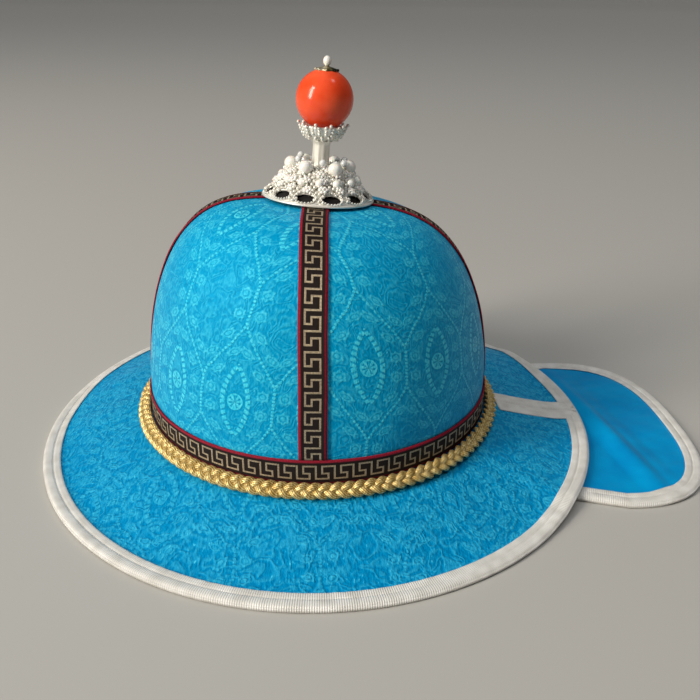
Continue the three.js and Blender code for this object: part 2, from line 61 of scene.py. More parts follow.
def toLinear(hexColour):
    # each channel: ((c + 0.055) / 1.055) ^ 2.4, or c / 12.92 when dark
    channels = np.array([int(hexColour[i:i + 2], 16) / 255 for i in (0, 2, 4)])
    linear = np.where(channels > 0.04045, ((channels + 0.055) / 1.055) ** 2.4, channels / 12.92)
    return (*linear, 1.0)


def smooth(low, high, value):
    # 3 t^2 - 2 t^3, where t runs from 0 at low to 1 at high
    t = np.clip((value - low) / (high - low), 0, 1)
    return t * t * (3 - 2 * t)


def eased(rows, at):
    # value in a table at a place, with half a cosine wave between two rows
    places, values = np.array(rows, float).T
    at = np.clip(at, places[0], places[-1])
    k = np.clip(np.searchsorted(places, at) - 1, 0, len(places) - 2)
    share = (at - places[k]) / (places[k + 1] - places[k])
    return values[k] + (values[k + 1] - values[k]) * (0.5 - 0.5 * np.cos(np.pi * share))


def ripple(x, y, size, seed):
    # sum of five waves of random direction and phase, about size long; runs from -1 to 1
    random = np.random.default_rng(seed)
    turns, phases = random.uniform(0, np.pi, 5), random.uniform(0, 2 * np.pi, 5)
    lengths = size * random.uniform(0.7, 1.5, 5)
    waves = [np.sin(2 * np.pi * (x * math.cos(t) + y * math.sin(t)) / w + p)
             for t, p, w in zip(turns, phases, lengths)]
    return sum(waves) / 5


def gridQuads(rows, columns, closeRows=False, closeColumns=False, first=0):
    # four corners round each cell of a grid that is numbered row by row
    r = np.arange(rows if closeRows else rows - 1)[:, None]
    c = np.arange(columns if closeColumns else columns - 1)[None, :]
    nextR, nextC = (r + 1) % rows, (c + 1) % columns
    corners = [r * columns + c, r * columns + nextC, nextR * columns + nextC, nextR * columns + c]
    return np.stack(np.broadcast_arrays(*corners), -1).reshape(-1, 4) + first


def stitchStrip(a, b):
    # triangles between two chains of point numbers that run side by side, with n and m steps:
    # step i of a meets the point of b at the same share of the way, and each step of b closes the fan
    n, m = len(a) - 1, len(b) - 1
    meets = np.round((np.arange(n) + 0.5) * m / n).astype(int)
    turns = np.searchsorted(meets, np.arange(m) + 1)
    return np.concatenate([np.stack([a[:-1], a[1:], b[meets]], -1),
                           np.stack([a[turns], b[1:], b[:-1]], -1)])


def makePiece(name, points, faces, materials, uv=None, slots=None):
    # points in mm from the crown's axis; faces are arrays of point numbers; uv is per point
    points = (np.asarray(points, float).reshape(-1, 3) + [crown["axisX"], 0, 0]) * 0.001
    mesh = bpy.data.meshes.new(name)
    mesh.from_pydata(points.tolist(), [], [f for group in faces for f in np.asarray(group).tolist()])
    for material in materials:
        mesh.materials.append(material)
    if slots is not None:
        mesh.polygons.foreach_set("material_index", np.asarray(slots, np.int32))
    corner = np.zeros(len(mesh.loops), np.int32)
    mesh.loops.foreach_get("vertex_index", corner)
    if uv is not None:
        layer = mesh.uv_layers.new(name="cloth")
        layer.data.foreach_set("uv", np.asarray(uv, np.float32).reshape(-1, 2)[corner].ravel())
    mesh.polygons.foreach_set("use_smooth", np.ones(len(mesh.polygons), bool))
    mesh.validate()
    mesh.update()
    if signedVolume(mesh) < 0:
        mesh.flip_normals()
    piece = bpy.data.objects.new(name, mesh)
    bpy.context.scene.collection.objects.link(piece)
    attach(piece, "root")
    return piece


def signedVolume(mesh):
    # sum over triangles of a . (b x c) / 6
    mesh.calc_loop_triangles()
    co = np.zeros(len(mesh.vertices) * 3)
    mesh.vertices.foreach_get("co", co)
    tri = np.zeros(len(mesh.loop_triangles) * 3, np.int32)
    mesh.loop_triangles.foreach_get("vertices", tri)
    a, b, c = co.reshape(-1, 3)[tri.reshape(-1, 3)].transpose(1, 0, 2)
    return float(np.einsum("ij,ij->i", a, np.cross(b, c)).sum() / 6)


def clothWall(name, outer, inner, materials, outerUv, innerUv):
    # a closed sheet from two grids with the same columns: the outer face is fine, the inner one coarse;
    # quads join them at the first and last row, and strips of triangles at the two sides
    rows, columns = outer.shape[:2]
    innerRows, first = len(inner), rows * columns
    outerQuads = gridQuads(rows, columns)
    innerQuads = gridQuads(innerRows, columns, first=first)[:, ::-1]
    a, b = np.arange(columns - 1), np.arange(1, columns)
    low = np.stack([a, first + a, first + b, b], -1)
    lastOuter, lastInner = (rows - 1) * columns, first + (innerRows - 1) * columns
    high = np.stack([lastOuter + a, lastOuter + b, lastInner + b, lastInner + a], -1)
    outerSide, innerSide = np.arange(rows) * columns, first + np.arange(innerRows) * columns
    left = stitchStrip(outerSide, innerSide)
    right = stitchStrip(outerSide + columns - 1, innerSide + columns - 1)[:, ::-1]
    faces = [outerQuads, innerQuads, low, high, left, right]
    slots = np.repeat([0, 1, 0, 0, 0, 0], [len(group) for group in faces])
    points = np.concatenate([outer.reshape(-1, 3), inner.reshape(-1, 3)])
    uv = np.concatenate([outerUv.reshape(-1, 2), innerUv.reshape(-1, 2)])
    return makePiece(name, points, faces, materials, uv, slots)


def sweep(name, section, materials, uv):
    # a closed section carried along an open path with flat ends: section[path, round, xyz]
    steps, around = section.shape[:2]
    ends = [np.arange(around)[None, ::-1], (steps - 1) * around + np.arange(around)[None, :]]
    return makePiece(name, section, [gridQuads(steps, around, closeColumns=True), *ends], materials, uv)


def addNode(tree, kind, *inputs, output=0, named=None, stops=(), **settings):
    # adds one shader node and gives an output; a kind in capitals is an operation of the Math node;
    # each input is a value, a link or None, in the node's own order; named holds inputs by their names,
    # and stops the places and hex colours of a colour ramp
    made = tree.nodes.new("ShaderNodeMath" if kind.isupper() else "ShaderNode" + kind)
    if kind.isupper():
        made.operation = kind
    for key, value in settings.items():
        setattr(made, key, value)
    for place, value in [*enumerate(inputs), *(named or {}).items()]:
        if isinstance(value, bpy.types.NodeSocket):
            tree.links.new(value, made.inputs[place])
        elif value is not None:
            made.inputs[place].default_value = value
    for k, (place, hexColour) in enumerate(stops):
        elements = made.color_ramp.elements
        element = elements[k] if k < 2 else elements.new(place)
        element.position, element.color = place, toLinear(hexColour)
    return made.outputs[output]


def newMaterial(name, **values):
    # a Principled surface with its plain values set; gives the material, add for its nodes and the shader's inputs
    material = bpy.data.materials.new(name)
    material.use_nodes = True
    shader = material.node_tree.nodes["Principled BSDF"]
    for key, value in values.items():
        shader.inputs[key.replace("_", " ")].default_value = value
    return material, partial(addNode, material.node_tree), shader.inputs


def plug(surface, **links):
    # links each output to the shader's input of that name
    for key, link in links.items():
        link.node.id_data.links.new(link, surface[key.replace("_", " ")])


def split(add, vector):
    separate = add("SeparateXYZ", vector).node
    return separate.outputs[0], separate.outputs[1]


# Turquoise silk damask: figure and ground of one dye, woven in opposite faces of the satin, so the figure shines
# where the ground is dull; the shine takes the colour of the silk, and the figure's lighter colour is painted
# sheen for that shine. Lines thinner than 0.4 mm are drawn 0.6 mm wide. Lengths are in mm
damask = {
    # each colour runs from painted shade in the creases' hollows to painted light on their crests; the figure's
    # pair is lighter, painted sheen
    "ground": ("0086B8", "009CCE"),
    "figure": ("10B6DC", "5CDCEE"),
    "shine": "38C8F8",
    "roughness": (0.5, 0.28),  # ground, figure
    "across": 40.0,  # repeat of the half-drop lattice
    "up": 92.0,
    "waist": (0.5, 0.62),  # middle and swing of a cell's half width, as shares of half the repeat
    "dot": (1.75, 0.5),  # spacing and radius of the dots along the lattice
    "floret": (9.6, 4.6, 2.7),  # spacing, distance from the lattice and radius of the florets along it
    "medallion": (8.6, 37.0, 2.9, 3.0),  # half width, height, width of its border, spacing of the bars in it
    "rosette": 4.3,
    "island": 8.5,  # size of the islands of line work
    "lines": 7.36,  # lines round each island
    "weights": (0.95, 0.6, 0.26),  # how strong dots and medallions, florets, and line work are
    "warp": 1.3,  # how far the pattern strays
    # how strong the painted glints are: highlights painted on the creases' crests
    "paintedGlints": 0.5,
    "crinkle": 0.85,  # how many soft creases a mm
    "relief": 0.34,
}
# The brim is cut from a part with more line work; its creases carry more relief and stronger painted glints, and
# its colours are a darker copy of the crown's, painted shade
brimDamask = dict(damask, weights=(0.5, 0.5, 0.3), island=9.0, lines=4.8, warp=5.0, crinkle=0.7, paintedGlints=0.9,
                  relief=0.85, ground=("0076AC", "0090C6"), figure=("0AA4D2", "50CEEA"))


def distance(add, a, b):
    # sqrt(a^2 + b^2)
    return add("SQRT", add("MULTIPLY_ADD", a, a, add("MULTIPLY", b, b)))


def cellBound(add, y, d):
    # P/2 (m + w cos(2 pi y / Q)), cut to 0...P/2
    middle, swing = d["waist"]
    cosine = add("COSINE", add("MULTIPLY", y, 2 * math.pi / d["up"]))
    rise = add("MULTIPLY_ADD", cosine, swing, middle)
    return add("MULTIPLY", add("MAXIMUM", add("MINIMUM", rise, 1.0), 0.0), d["across"] / 2)


def lattice(add, uv, d):
    # cells of a half-drop lattice: cell number 0 or 1, distance across and height from its own middle
    x, y = split(add, uv)
    half = d["up"] / 2
    sideX = add("PINGPONG", x, d["across"] / 2)
    wrapY = add("WRAP", y, half, -half)
    shiftedY = add("WRAP", add("ADD", y, half), half, -half)
    own = add("LESS_THAN", sideX, cellBound(add, y, d))
    otherX = add("SUBTRACT", d["across"] / 2, sideX)
    cellX = add("MULTIPLY_ADD", own, add("SUBTRACT", sideX, otherX), otherX)
    cellY = add("MULTIPLY_ADD", own, add("SUBTRACT", wrapY, shiftedY), shiftedY)
    return own, cellX, cellY


def dotsAndFlorets(add, cellX, cellY, d):
    # both stand at even steps along the bound; a floret's edge waves as 0.35 sin(7 t) and has a ring in it
    slant = 0.82  # the bound leans, so the way to it is shorter than the way across
    toBound = add("MULTIPLY", add("SUBTRACT", cellBound(add, cellY, d), cellX), slant)
    spacing, size = d["dot"]
    away = distance(add, toBound, add("PINGPONG", cellY, spacing / 2))
    dots = add("MapRange", away, size, size + 0.4, 1.0, 0.0)
    spacing, inset, size = d["floret"]
    floretX = add("SUBTRACT", toBound, inset)
    floretY = add("PINGPONG", add("ADD", cellY, spacing / 2), spacing / 2)
    away = distance(add, floretX, floretY)
    petals = add("SINE", add("MULTIPLY", add("ARCTAN2", floretY, floretX), 7.0))
    edge = add("MULTIPLY_ADD", petals, 0.35, away)
    floret = add("MapRange", edge, size - 0.3, size + 0.2, 1.0, 0.0)
    fromRing = add("ABSOLUTE", add("SUBTRACT", away, size / 2))
    return dots, add("MULTIPLY", floret, add("MapRange", fromRing, 0.1, 0.5, 0.25, 1.0))


def medallionIn(add, own, cellX, cellY, d):
    # half width W cos(pi y / H)^0.7, with a barred border and a rosette of eight spokes, in the own cells only;
    # the second output is the dark outline of the rosette
    width, height, border, pitch = d["medallion"]
    upright = add("ABSOLUTE", cellY)
    reach = add("MAXIMUM", add("COSINE", add("MULTIPLY", upright, math.pi / height)), 0.0)
    reach = add("MULTIPLY", reach, add("LESS_THAN", upright, height / 2))
    within = add("SUBTRACT", add("MULTIPLY", add("POWER", reach, 0.7), width), cellX)
    slanted = add("MULTIPLY_ADD", cellX, -0.45, upright)
    bars = add("SINE", add("MULTIPLY", slanted, 2 * math.pi / pitch))
    bars = add("MapRange", bars, -0.75, -0.2, 0.1, 1.0)
    fromBorder = add("ABSOLUTE", add("SUBTRACT", within, border / 2))
    ring = add("MapRange", fromBorder, border / 2 - 0.3, border / 2 + 0.1, 1.0, 0.0)
    away = distance(add, cellX, cellY)
    spokes = add("SINE", add("MULTIPLY", add("ARCTAN2", cellY, cellX), 8.0))
    rim = add("COMPARE", away, d["rosette"], 0.9)
    spokes = add("MAXIMUM", add("GREATER_THAN", spokes, -0.2), rim)
    rosette = add("MULTIPLY", spokes, add("LESS_THAN", away, d["rosette"]))
    inside = add("MAXIMUM", add("MULTIPLY", ring, bars), rosette)
    outline = add("COMPARE", away, d["rosette"] + 0.55, 0.5)
    return add("MULTIPLY", own, inside), add("MULTIPLY", own, outline)


def damaskMaterial(name, d):
    shine = toLinear(d["shine"])
    material, add, surface = newMaterial(name, Specular_IOR_Level=0.45, Specular_Tint=shine, Sheen_Weight=0.05,
                                          Sheen_Roughness=0.35, Sheen_Tint=shine)
    uv = add("UVMap", uv_map="cloth")
    noise = add("TexNoise", named={"Vector": uv, "Scale": 0.12, "Detail": 1.0}, output="Color")
    offset = add("VectorMath", noise, (0.5, 0.5, 0.5), operation="SUBTRACT")
    bent = add("VectorMath", offset, (d["warp"], d["warp"], 0.0), uv, operation="MULTIPLY_ADD")
    own, cellX, cellY = lattice(add, bent, d)
    dots, floret = dotsAndFlorets(add, cellX, cellY, d)
    medallion, outline = medallionIn(add, own, cellX, cellY, d)
    strong, middle, faint = d["weights"]
    figure = add("MULTIPLY", add("MAXIMUM", dots, medallion), strong)
    figure = add("MAXIMUM", figure, add("MULTIPLY", floret, middle))
    # line work: closed curves round islands, where sin(2 pi n times a soft noise) is high
    size = 1 / d["island"]
    islands = add("TexNoise", named={"Vector": uv, "Scale": size, "Detail": 1.0, "Distortion": 0.6})
    curves = add("SINE", add("MULTIPLY", islands, 2 * math.pi * d["lines"]))
    curves = add("MapRange", curves, -0.6, 0.9, 0.0, 1.0)
    free = add("SUBTRACT", 1.0, add("MAXIMUM", figure, outline))
    curves = add("MULTIPLY", curves, add("MapRange", free, 0.4, 1.0, 0.0, 1.0))
    # creases twice as long up the cloth as across it; their crests get painted glints, a painted highlight in the
    # figure's lighter colour, and are smoother
    stretched = add("VectorMath", uv, (1.0, 0.5, 1.0), operation="MULTIPLY")
    crinkle = add("TexNoise", named={"Vector": stretched, "Scale": d["crinkle"], "Detail": 3.0,
                                     "Roughness": 0.6})
    paintedGlints = add("MapRange", crinkle, 0.62, 0.72, 0.0, d["paintedGlints"])
    amount = add("MAXIMUM", figure, add("MULTIPLY", curves, faint))
    amount = add("MULTIPLY_ADD", outline, -0.4, add("MAXIMUM", amount, paintedGlints))
    # both colours follow the crease noise that also lifts the bump: painted shade in the hollows, painted light on
    # the crests
    ground, raised = [add("ValToRGB", crinkle, stops=[(0.35, dark), (0.65, light)])
                      for dark, light in (d["ground"], d["figure"])]
    height = add("MULTIPLY_ADD", crinkle, 1.0, add("MULTIPLY", figure, 0.7))
    height = add("MULTIPLY_ADD", curves, 0.3, height)
    height = add("MULTIPLY_ADD", outline, -0.5, height)
    plug(surface, Base_Color=add("MixRGB", amount, ground, raised),
         Roughness=add("MapRange", amount, 0.0, 1.0, *d["roughness"]),
         Normal=add("Bump", named={"Strength": 1.0, "Distance": d["relief"] * 0.001, "Height": height}))
    return material


brocade = damaskMaterial("silk damask, crown", damask)
brimBrocade = damaskMaterial("silk damask, brim", brimDamask)

# Plain cotton lining: dull and slightly uneven
lining, add, surface = newMaterial("cotton lining", Roughness=0.85)
uneven = add("TexNoise", named={"Scale": 60.0, "Detail": 3.0})
plug(surface, Base_Color=add("ValToRGB", uneven, stops=[(0.3, "16658C"), (0.7, "1D7AA4")]))

# Polyester satin of the flap: smooth floats that shine in the cloth's own blue, a few soft pulls
satin, add, surface = newMaterial("polyester satin", Roughness=0.36, Specular_IOR_Level=0.6,
                                   Specular_Tint=toLinear("8FDCFF"))
uv = add("UVMap", uv_map="cloth")
uneven = add("TexNoise", named={"Vector": uv, "Scale": 0.05, "Detail": 2.0})
stretched = add("VectorMath", uv, (0.3, 2.2, 1.0), operation="MULTIPLY")
floats = add("TexNoise", named={"Vector": stretched, "Scale": 0.8, "Detail": 3.0})
plug(surface, Base_Color=add("ValToRGB", uneven, stops=[(0.35, "0084C0"), (0.7, "0094CE")]),
     Normal=add("Bump", named={"Strength": 0.6, "Distance": 0.0001, "Height": floats}))

# Silver-white grosgrain binding: ribs across the ribbon. They are 0.5 mm apart and are drawn 1.1 mm apart
grosgrain, add, surface = newMaterial("silver grosgrain ribbon", Roughness=0.34, Sheen_Weight=0.08)
uv = add("UVMap", uv_map="cloth")
along, _ = split(add, uv)
ribs = add("SINE", add("MULTIPLY", along, 2 * math.pi / 1.1))
uneven = add("TexNoise", named={"Vector": uv, "Scale": 0.12, "Detail": 1.0})
# the ribs' crests are painted a little lighter and their hollows darker, a painted shade of the ribs, over an
# uneven tone
tone = add("MULTIPLY_ADD", ribs, 0.05, uneven)
plug(surface, Base_Color=add("ValToRGB", tone, stops=[(0.3, "C9C6BF"), (0.7, "DFDDD8")]),
     Normal=add("Bump", named={"Strength": 0.5, "Distance": 0.0002, "Height": ribs}))

# Jacquard key ribbon: silver-gold thread figure on a brown-black ground, red edges with a stitched look.
# The figure's lines are 1.03 mm and repeat every 9.3 mm. The threads are about 0.25 mm apart and are drawn
# 0.52 mm apart
keyRibbonLook = {
    "ground": ("0E0706", "1F120E"),
    "thread": ("7C6850", "CDBCA0"),
    "edge": ("62061A", "A4122F"),
    "line": "2A080C",  # between edge and ground
    "cell": 1.033,  # one step of the key chart
    "repeat": 9,  # steps
    "edgeWidth": 1.35,
    "lineWidth": 0.6,
    "width": 14.0,
    "weave": 0.52,
    # boxes of the key figure in steps: from x, to x, from y, to y
    "boxes": [(0, 8, 0, 1), (0, 1, 0, 7), (3, 8, 3, 4), (3, 4, 3, 7), (0, 4, 6, 7), (7, 8, 3, 9)],
}


def keyRibbonMaterial(d):
    material, add, surface = newMaterial("jacquard key ribbon", Roughness=0.55, Specular_IOR_Level=0.3)
    uv = add("UVMap", uv_map="cloth")
    across, along = split(add, uv)
    side, halfWidth = (d["width"] - 8 * d["cell"]) / 2, d["width"] / 2
    x = add("DIVIDE", add("SUBTRACT", across, side), d["cell"])
    y = add("WRAP", add("DIVIDE", along, d["cell"]), float(d["repeat"]), 0.0)
    figure = 0.0
    for fromX, toX, fromY, toY in d["boxes"]:
        inX = add("COMPARE", x, (fromX + toX) / 2, (toX - fromX) / 2 - 0.04)
        inY = add("COMPARE", y, (fromY + toY) / 2, (toY - fromY) / 2 - 0.04)
        figure = add("MAXIMUM", figure, add("MULTIPLY", inX, inY))
    fromMiddle = add("ABSOLUTE", add("SUBTRACT", across, halfWidth))
    edge = add("GREATER_THAN", fromMiddle, halfWidth - d["edgeWidth"])
    line = add("COMPARE", fromMiddle, halfWidth - d["edgeWidth"] - d["lineWidth"] / 2, d["lineWidth"] / 2)
    ribs, picks = [add("SINE", add("MULTIPLY", way, 2 * math.pi / d["weave"])) for way in (along, across)]
    fuzz = add("TexNoise", named={"Vector": uv, "Scale": 1.6, "Detail": 4.0})
    # the tone follows the ribs and fuzz that also raise the bump: the weave's crests are painted lighter and its
    # hollows darker, painted shade, over uneven thread
    tone = add("MULTIPLY_ADD", ribs, 0.16, fuzz)
    ground, thread, edgeColour = [
        add("ValToRGB", tone, stops=[(low, d[key][0]), (high, d[key][1])])
        for key, low, high in (("ground", 0.3, 0.7), ("thread", 0.3, 0.65), ("edge", 0.35, 0.65))]
    colour = add("MixRGB", figure, ground, thread)
    colour = add("MixRGB", line, colour, toLinear(d["line"]))
    height = add("MULTIPLY", add("MAXIMUM", figure, edge), 0.9)
    height = add("MULTIPLY_ADD", add("MULTIPLY", ribs, picks), 0.25, height)
    height = add("MULTIPLY_ADD", fuzz, 0.5, height)
    plug(surface, Base_Color=add("MixRGB", edge, colour, edgeColour),
         Roughness=add("MapRange", figure, 0.0, 1.0, 0.75, 0.4),
         Metallic=add("MapRange", figure, 0.0, 1.0, 0.0, 0.35),
         Normal=add("Bump", named={"Strength": 1.0, "Distance": 0.00018, "Height": height}))
    return material


keyRibbon = keyRibbonMaterial(keyRibbonLook)

# Gold lurex cord: metal-wrapped threads, with painted light on the ridges and painted brown shade between them,
# following the same twist that makes the bump
lurex, add, surface = newMaterial("gold lurex cord", Roughness=0.34, Metallic=0.4)
uv = add("UVMap", uv_map="cloth")
along, across = split(add, uv)
threads = 9  # round a strand
twist = add("MULTIPLY_ADD", along, 2.6, add("MULTIPLY", across, 2 * math.pi * threads))
hairs = add("TexNoise", named={"Vector": uv, "Scale": 2.2, "Detail": 4.0})
tone = add("MULTIPLY_ADD", add("SINE", twist), 0.18, hairs)
plug(surface, Base_Color=add("ValToRGB", tone, stops=[(0.25, "8A6220"), (0.5, "D9B866"), (0.75, "FBEBB6")]),
     Normal=add("Bump", named={"Strength": 1.0, "Distance": 0.0003, "Height": tone}))

# Silver-plated filigree: bright, slightly yellow, darker in the recesses
silver, add, surface = newMaterial("silver-plated brass", Roughness=0.36, Metallic=0.35)
wear = add("TexNoise", named={"Scale": 300.0, "Detail": 3.0})
plug(surface, Base_Color=add("ValToRGB", wear, stops=[(0.3, "DAD6CA"), (0.6, "F6F4EC")]))

# A nearly black, dull sheet behind the openings: painted shade inside the cone, so the openings read as dark holes
shadeSheetMaterial = newMaterial("black sheet, painted shade", Roughness=0.7, Metallic=0.2, Base_Color=toLinear("14110E"))[0]

# The dark cap on the ball: worn silver plate, mottled at random, and green-black towards the right (+x)
tarnished, add, surface = newMaterial("tarnished silver plate", Roughness=0.42, Metallic=0.8)
place = add("TexCoord", output="Object")
wear = add("TexNoise", named={"Vector": place, "Scale": 420.0, "Detail": 3.0})
# darker towards the right (+x) of the cap
towardsRight = add("MapRange", split(add, place)[0], -0.027, -0.0205, 0.0, 1.0)
tone = add("MULTIPLY_ADD", wear, 0.6, add("MULTIPLY", towardsRight, 0.55))
plug(surface, Base_Color=add("ValToRGB", tone, stops=[(0.25, "DAD3BC"), (0.5, "8E8458"), (0.8, "232A1C")]))

# Imitation pearls: glass with a pearl lacquer, painted white where they face the camera and painted greyer shade
# where they turn away
pearl, add, surface = newMaterial("lacquered glass pearl", Roughness=0.22, Coat_Weight=0.7, Coat_Roughness=0.06,
                                   Subsurface_Weight=0.12, Subsurface_Scale=0.002)
paintedEdgeShade = add("LayerWeight", 0.35, output="Facing")
plug(surface, Base_Color=add("ValToRGB", paintedEdgeShade, stops=[(0.0, "F6F4EE"), (0.55, "EDE6DC"), (1.0, "D6D2CE")]))

# Rhinestones: glass crystals with a silvered back, seen as small bright facets
crystal = newMaterial("glass rhinestone", Roughness=0.03, IOR=1.54, Transmission_Weight=0.2,
                      Base_Color=toLinear("F4F6F6"))[0]

# Polished coral bead: orange-red, dense, a little light under its skin, deeper red where it turns away
coral, add, surface = newMaterial("polished coral", Roughness=0.17, Specular_IOR_Level=0.35,
                                   Subsurface_Weight=0.12, Subsurface_Scale=0.003,
                                   Subsurface_Radius=(1.0, 0.25, 0.1))
place = add("TexCoord", output="Object")
mottle = add("TexNoise", named={"Vector": place, "Scale": 70.0, "Detail": 3.0})
plug(surface, Base_Color=add("ValToRGB", mottle, stops=[(0.35, "E64620"), (0.65, "F25C36")]))
print("materials:", len(bpy.data.materials))


def domeOutline(angle, out):
    # r = R cos(a)^(2/n), h = H sin(a)^(2/m), moved out along its normal, which is found from nearby points
    def curve(a):
        return (crown["radius"] * np.cos(a) ** (2 / crown["powerAcross"]),
                crown["height"] * np.sin(a) ** (2 / crown["powerUp"]))
    r, h = curve(angle)
    r1, h1 = curve(np.maximum(angle - 0.002, 0))
    r2, h2 = curve(np.minimum(angle + 0.002, np.pi / 2))
    length = np.hypot(r2 - r1, h2 - h1)
    return r + out * (h2 - h1) / length, h - out * (r2 - r1) / length


def angleAtRadius(radius):
    return math.acos((radius / crown["radius"]) ** (crown["powerAcross"] / 2))


def onCrown(radius, height, azimuth, aside=0.0):
    # x = r cos, y = r sin of the azimuth; the top sinks by (tan(tilt) x + tan(other tilt) y) (h / H)^2
    turn = np.radians(azimuth) + np.arcsin(aside / radius)
    x, y = radius * np.cos(turn), radius * np.sin(turn)
    back, right = np.tan(np.radians(crown["topTilt"]))
    sink = (back * x + right * y) * np.maximum(height / crown["height"], 0) ** 2
    return np.stack(np.broadcast_arrays(x, y, crown["bandTop"] + height - sink), -1)


fineAngles = np.linspace(0, angleAtRadius(crown["pinHole"]), 12000)
fineRadii, fineHeights = domeOutline(fineAngles, 0)
fineLengths = np.concatenate([[0], np.cumsum(np.hypot(np.diff(fineRadii), np.diff(fineHeights)))])


def outlineRows(fromLength, toLength, step):
    # angles of the dome's outline at even steps of its length, and those lengths
    lengths = np.linspace(fromLength, toLength, int((toLength - fromLength) / step) + 1)
    return np.interp(lengths, fineLengths, fineAngles), lengths


brim = {
    "radius": 161,
    "sheet": 1.5,
    "root": 19.4,  # height where it meets the crown
    "hem": 9.5,  # width of the binding
    "bindingWall": 0.6,
    "rest": 1.65,  # height of the sheet's middle where it lies on the table
    "ease": 0.12,  # how gently the slope runs out into a flat hem
    "slitAzimuth": -0.8,
    "slitSkew": 0.085,  # degrees for each millimetre in from the hem
    "slitHalf": 0.3,
    "slitStart": 107.4,
    "step": 1.5,
    # by azimuth: how high the flap under it lifts the edge
    "edgeLift": [(-180, 0), (-50, 0), (-46, 0.2), (-40, 1.6), (-33.5, 4.1), (29.2, 4.1), (36.7, 1.2), (44.2, 0),
                 (180, 0)],
    # from 0, a hem that lies flat, to 1, one that slopes with the brim
    "hemSlope": [(-180, 0.5), (-166, 0), (8, 0), (28, 1), (158, 1), (180, 0.5)],
    "slopedEase": 0.03,
    "slopedBulge": 2.0,
    "buckles": [(0.55, 34, 21), (0.22, 11, 22)],  # depth, length and seed of soft buckles half way out
    "bucklesFrom": (108, 122),
    "bucklesTo": (138, 150),
}


def brimHeight(x, y):
    # from the crown down to the hem: edge + (root - edge) e(s) / e(1) + a bulge 4 b s (1 - s) above a sloping hem,
    # where e(s) = hypot(s, softness) - softness
    radius, azimuth = np.hypot(x, y), np.degrees(np.arctan2(y, x))
    edge = brim["rest"] + eased(brim["edgeLift"], azimuth)
    sloped = eased(brim["hemSlope"], azimuth)
    hem = brim["radius"] - brim["hem"] * (1 - sloped)
    s = np.clip((hem - radius) / (hem - crown["radius"]), 0, 1)
    softness = brim["ease"] + (brim["slopedEase"] - brim["ease"]) * sloped
    soft, whole = np.hypot(s, softness) - softness, np.hypot(1, softness) - softness
    return edge + (brim["root"] - edge) * soft / whole + 4 * brim["slopedBulge"] * sloped * s * (1 - s)


def slitAt(radius):
    # azimuth of the slit: it turns evenly from the hem inwards
    return brim["slitAzimuth"] - brim["slitSkew"] * np.maximum(brim["radius"] - brim["hem"] - radius, 0)


# how the pattern lies on each panel: shift of a medallion from the panel's middle and the band, and its turn
panelCuts = {
    "back_left": (-45.4, 44.8, -7.0),
    "back_right": (-30.0, 60.0, 2.0),
    "front_right": (12.0, 20.0, -2.0),
    "front_left": (36.0, 25.8, 0.0),
}


def crownPanel(name, firstSeam):
    # a gore between two seams: columns by azimuth, rows up the outline, felt and brocade as one closed wall
    shiftU, shiftV, turn = panelCuts[name]
    foot = brim["root"] + brim["sheet"] / 2 + 0.3 - crown["bandTop"]
    angles, lengths = outlineRows(0, fineLengths[-1], crown["rowStep"])
    columns = int(crown["radius"] * math.pi / 2 / crown["rowStep"])
    share = np.linspace(0, 1, columns)[None, :]
    azimuth, aside = firstSeam + 90 * share, 0.15 - 0.3 * share

    def face(out, rowAngles):
        r, h = domeOutline(rowAngles, out)
        r = np.maximum(np.concatenate([[crown["radius"] + out], r]), crown["pinHole"])
        return r[:, None], np.concatenate([[foot], h])[:, None]

    r, h = face(0, angles)
    along = np.concatenate([[foot], lengths])[:, None]
    u, v = (share - 0.5) * math.pi / 2 * r, along + 0 * share
    free = smooth(0, 20, along) * smooth(0, 0.12, share) * smooth(0, 0.12, 1 - share)
    puff = crown["puff"] * ripple(u, v, crown["foldSize"], 11) * free
    outer = onCrown(r + puff, h, azimuth, aside)
    innerR, innerH = face(-crown["wall"], np.interp(np.linspace(0, fineLengths[-1], 24), fineLengths, fineAngles))
    inner = onCrown(innerR, innerH, azimuth, aside)
    cos, sin = math.cos(math.radians(turn)), math.sin(math.radians(turn))
    u, v = u - shiftU, v - shiftV
    uv = np.stack([u * cos + v * sin, v * cos - u * sin], -1)
    innerUv = np.stack(np.broadcast_arrays(share * 150, innerH), -1)
    piece = clothWall(f"crown_{name}", outer, inner, [brocade, lining], uv, innerUv)
    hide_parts(f"crown_panel_{name}")


for name, firstSeam in [("back_left", -90), ("back_right", 0), ("front_right", 90), ("front_left", 180)]:
    crownPanel(name, firstSeam + crown["seamTurn"])
print("crown panels done")

ribbon = {
    "width": 14.0,
    "thickness": 0.9,
    "gap": 0.3,
    "topRadius": 10.6,  # how near the crown's axis the seam ribbons end
    "step": 1.2,
    # half of the section: way from the middle, height as a share of the thickness
    "half": [(0.0, 0.88), (2.6, 0.86), (4.4, 0.82), (5.1, 1.05), (6.75, 1.0), (7.0, 0.45)],
    "bandSteps": 520,
    "bandRepeats": 67,  # of the key figure round the band
}


def ribbonSection():
    # across the ribbon and out of the cloth: a flat strip with rounded edges that are a little proud
    half = np.array(ribbon["half"])
    across = np.concatenate([-half[:0:-1, 0], half[:, 0], [half[-2, 0], -half[-2, 0]]])
    return across, np.concatenate([half[:0:-1, 1], half[:, 1], [0, 0]]) * ribbon["thickness"]


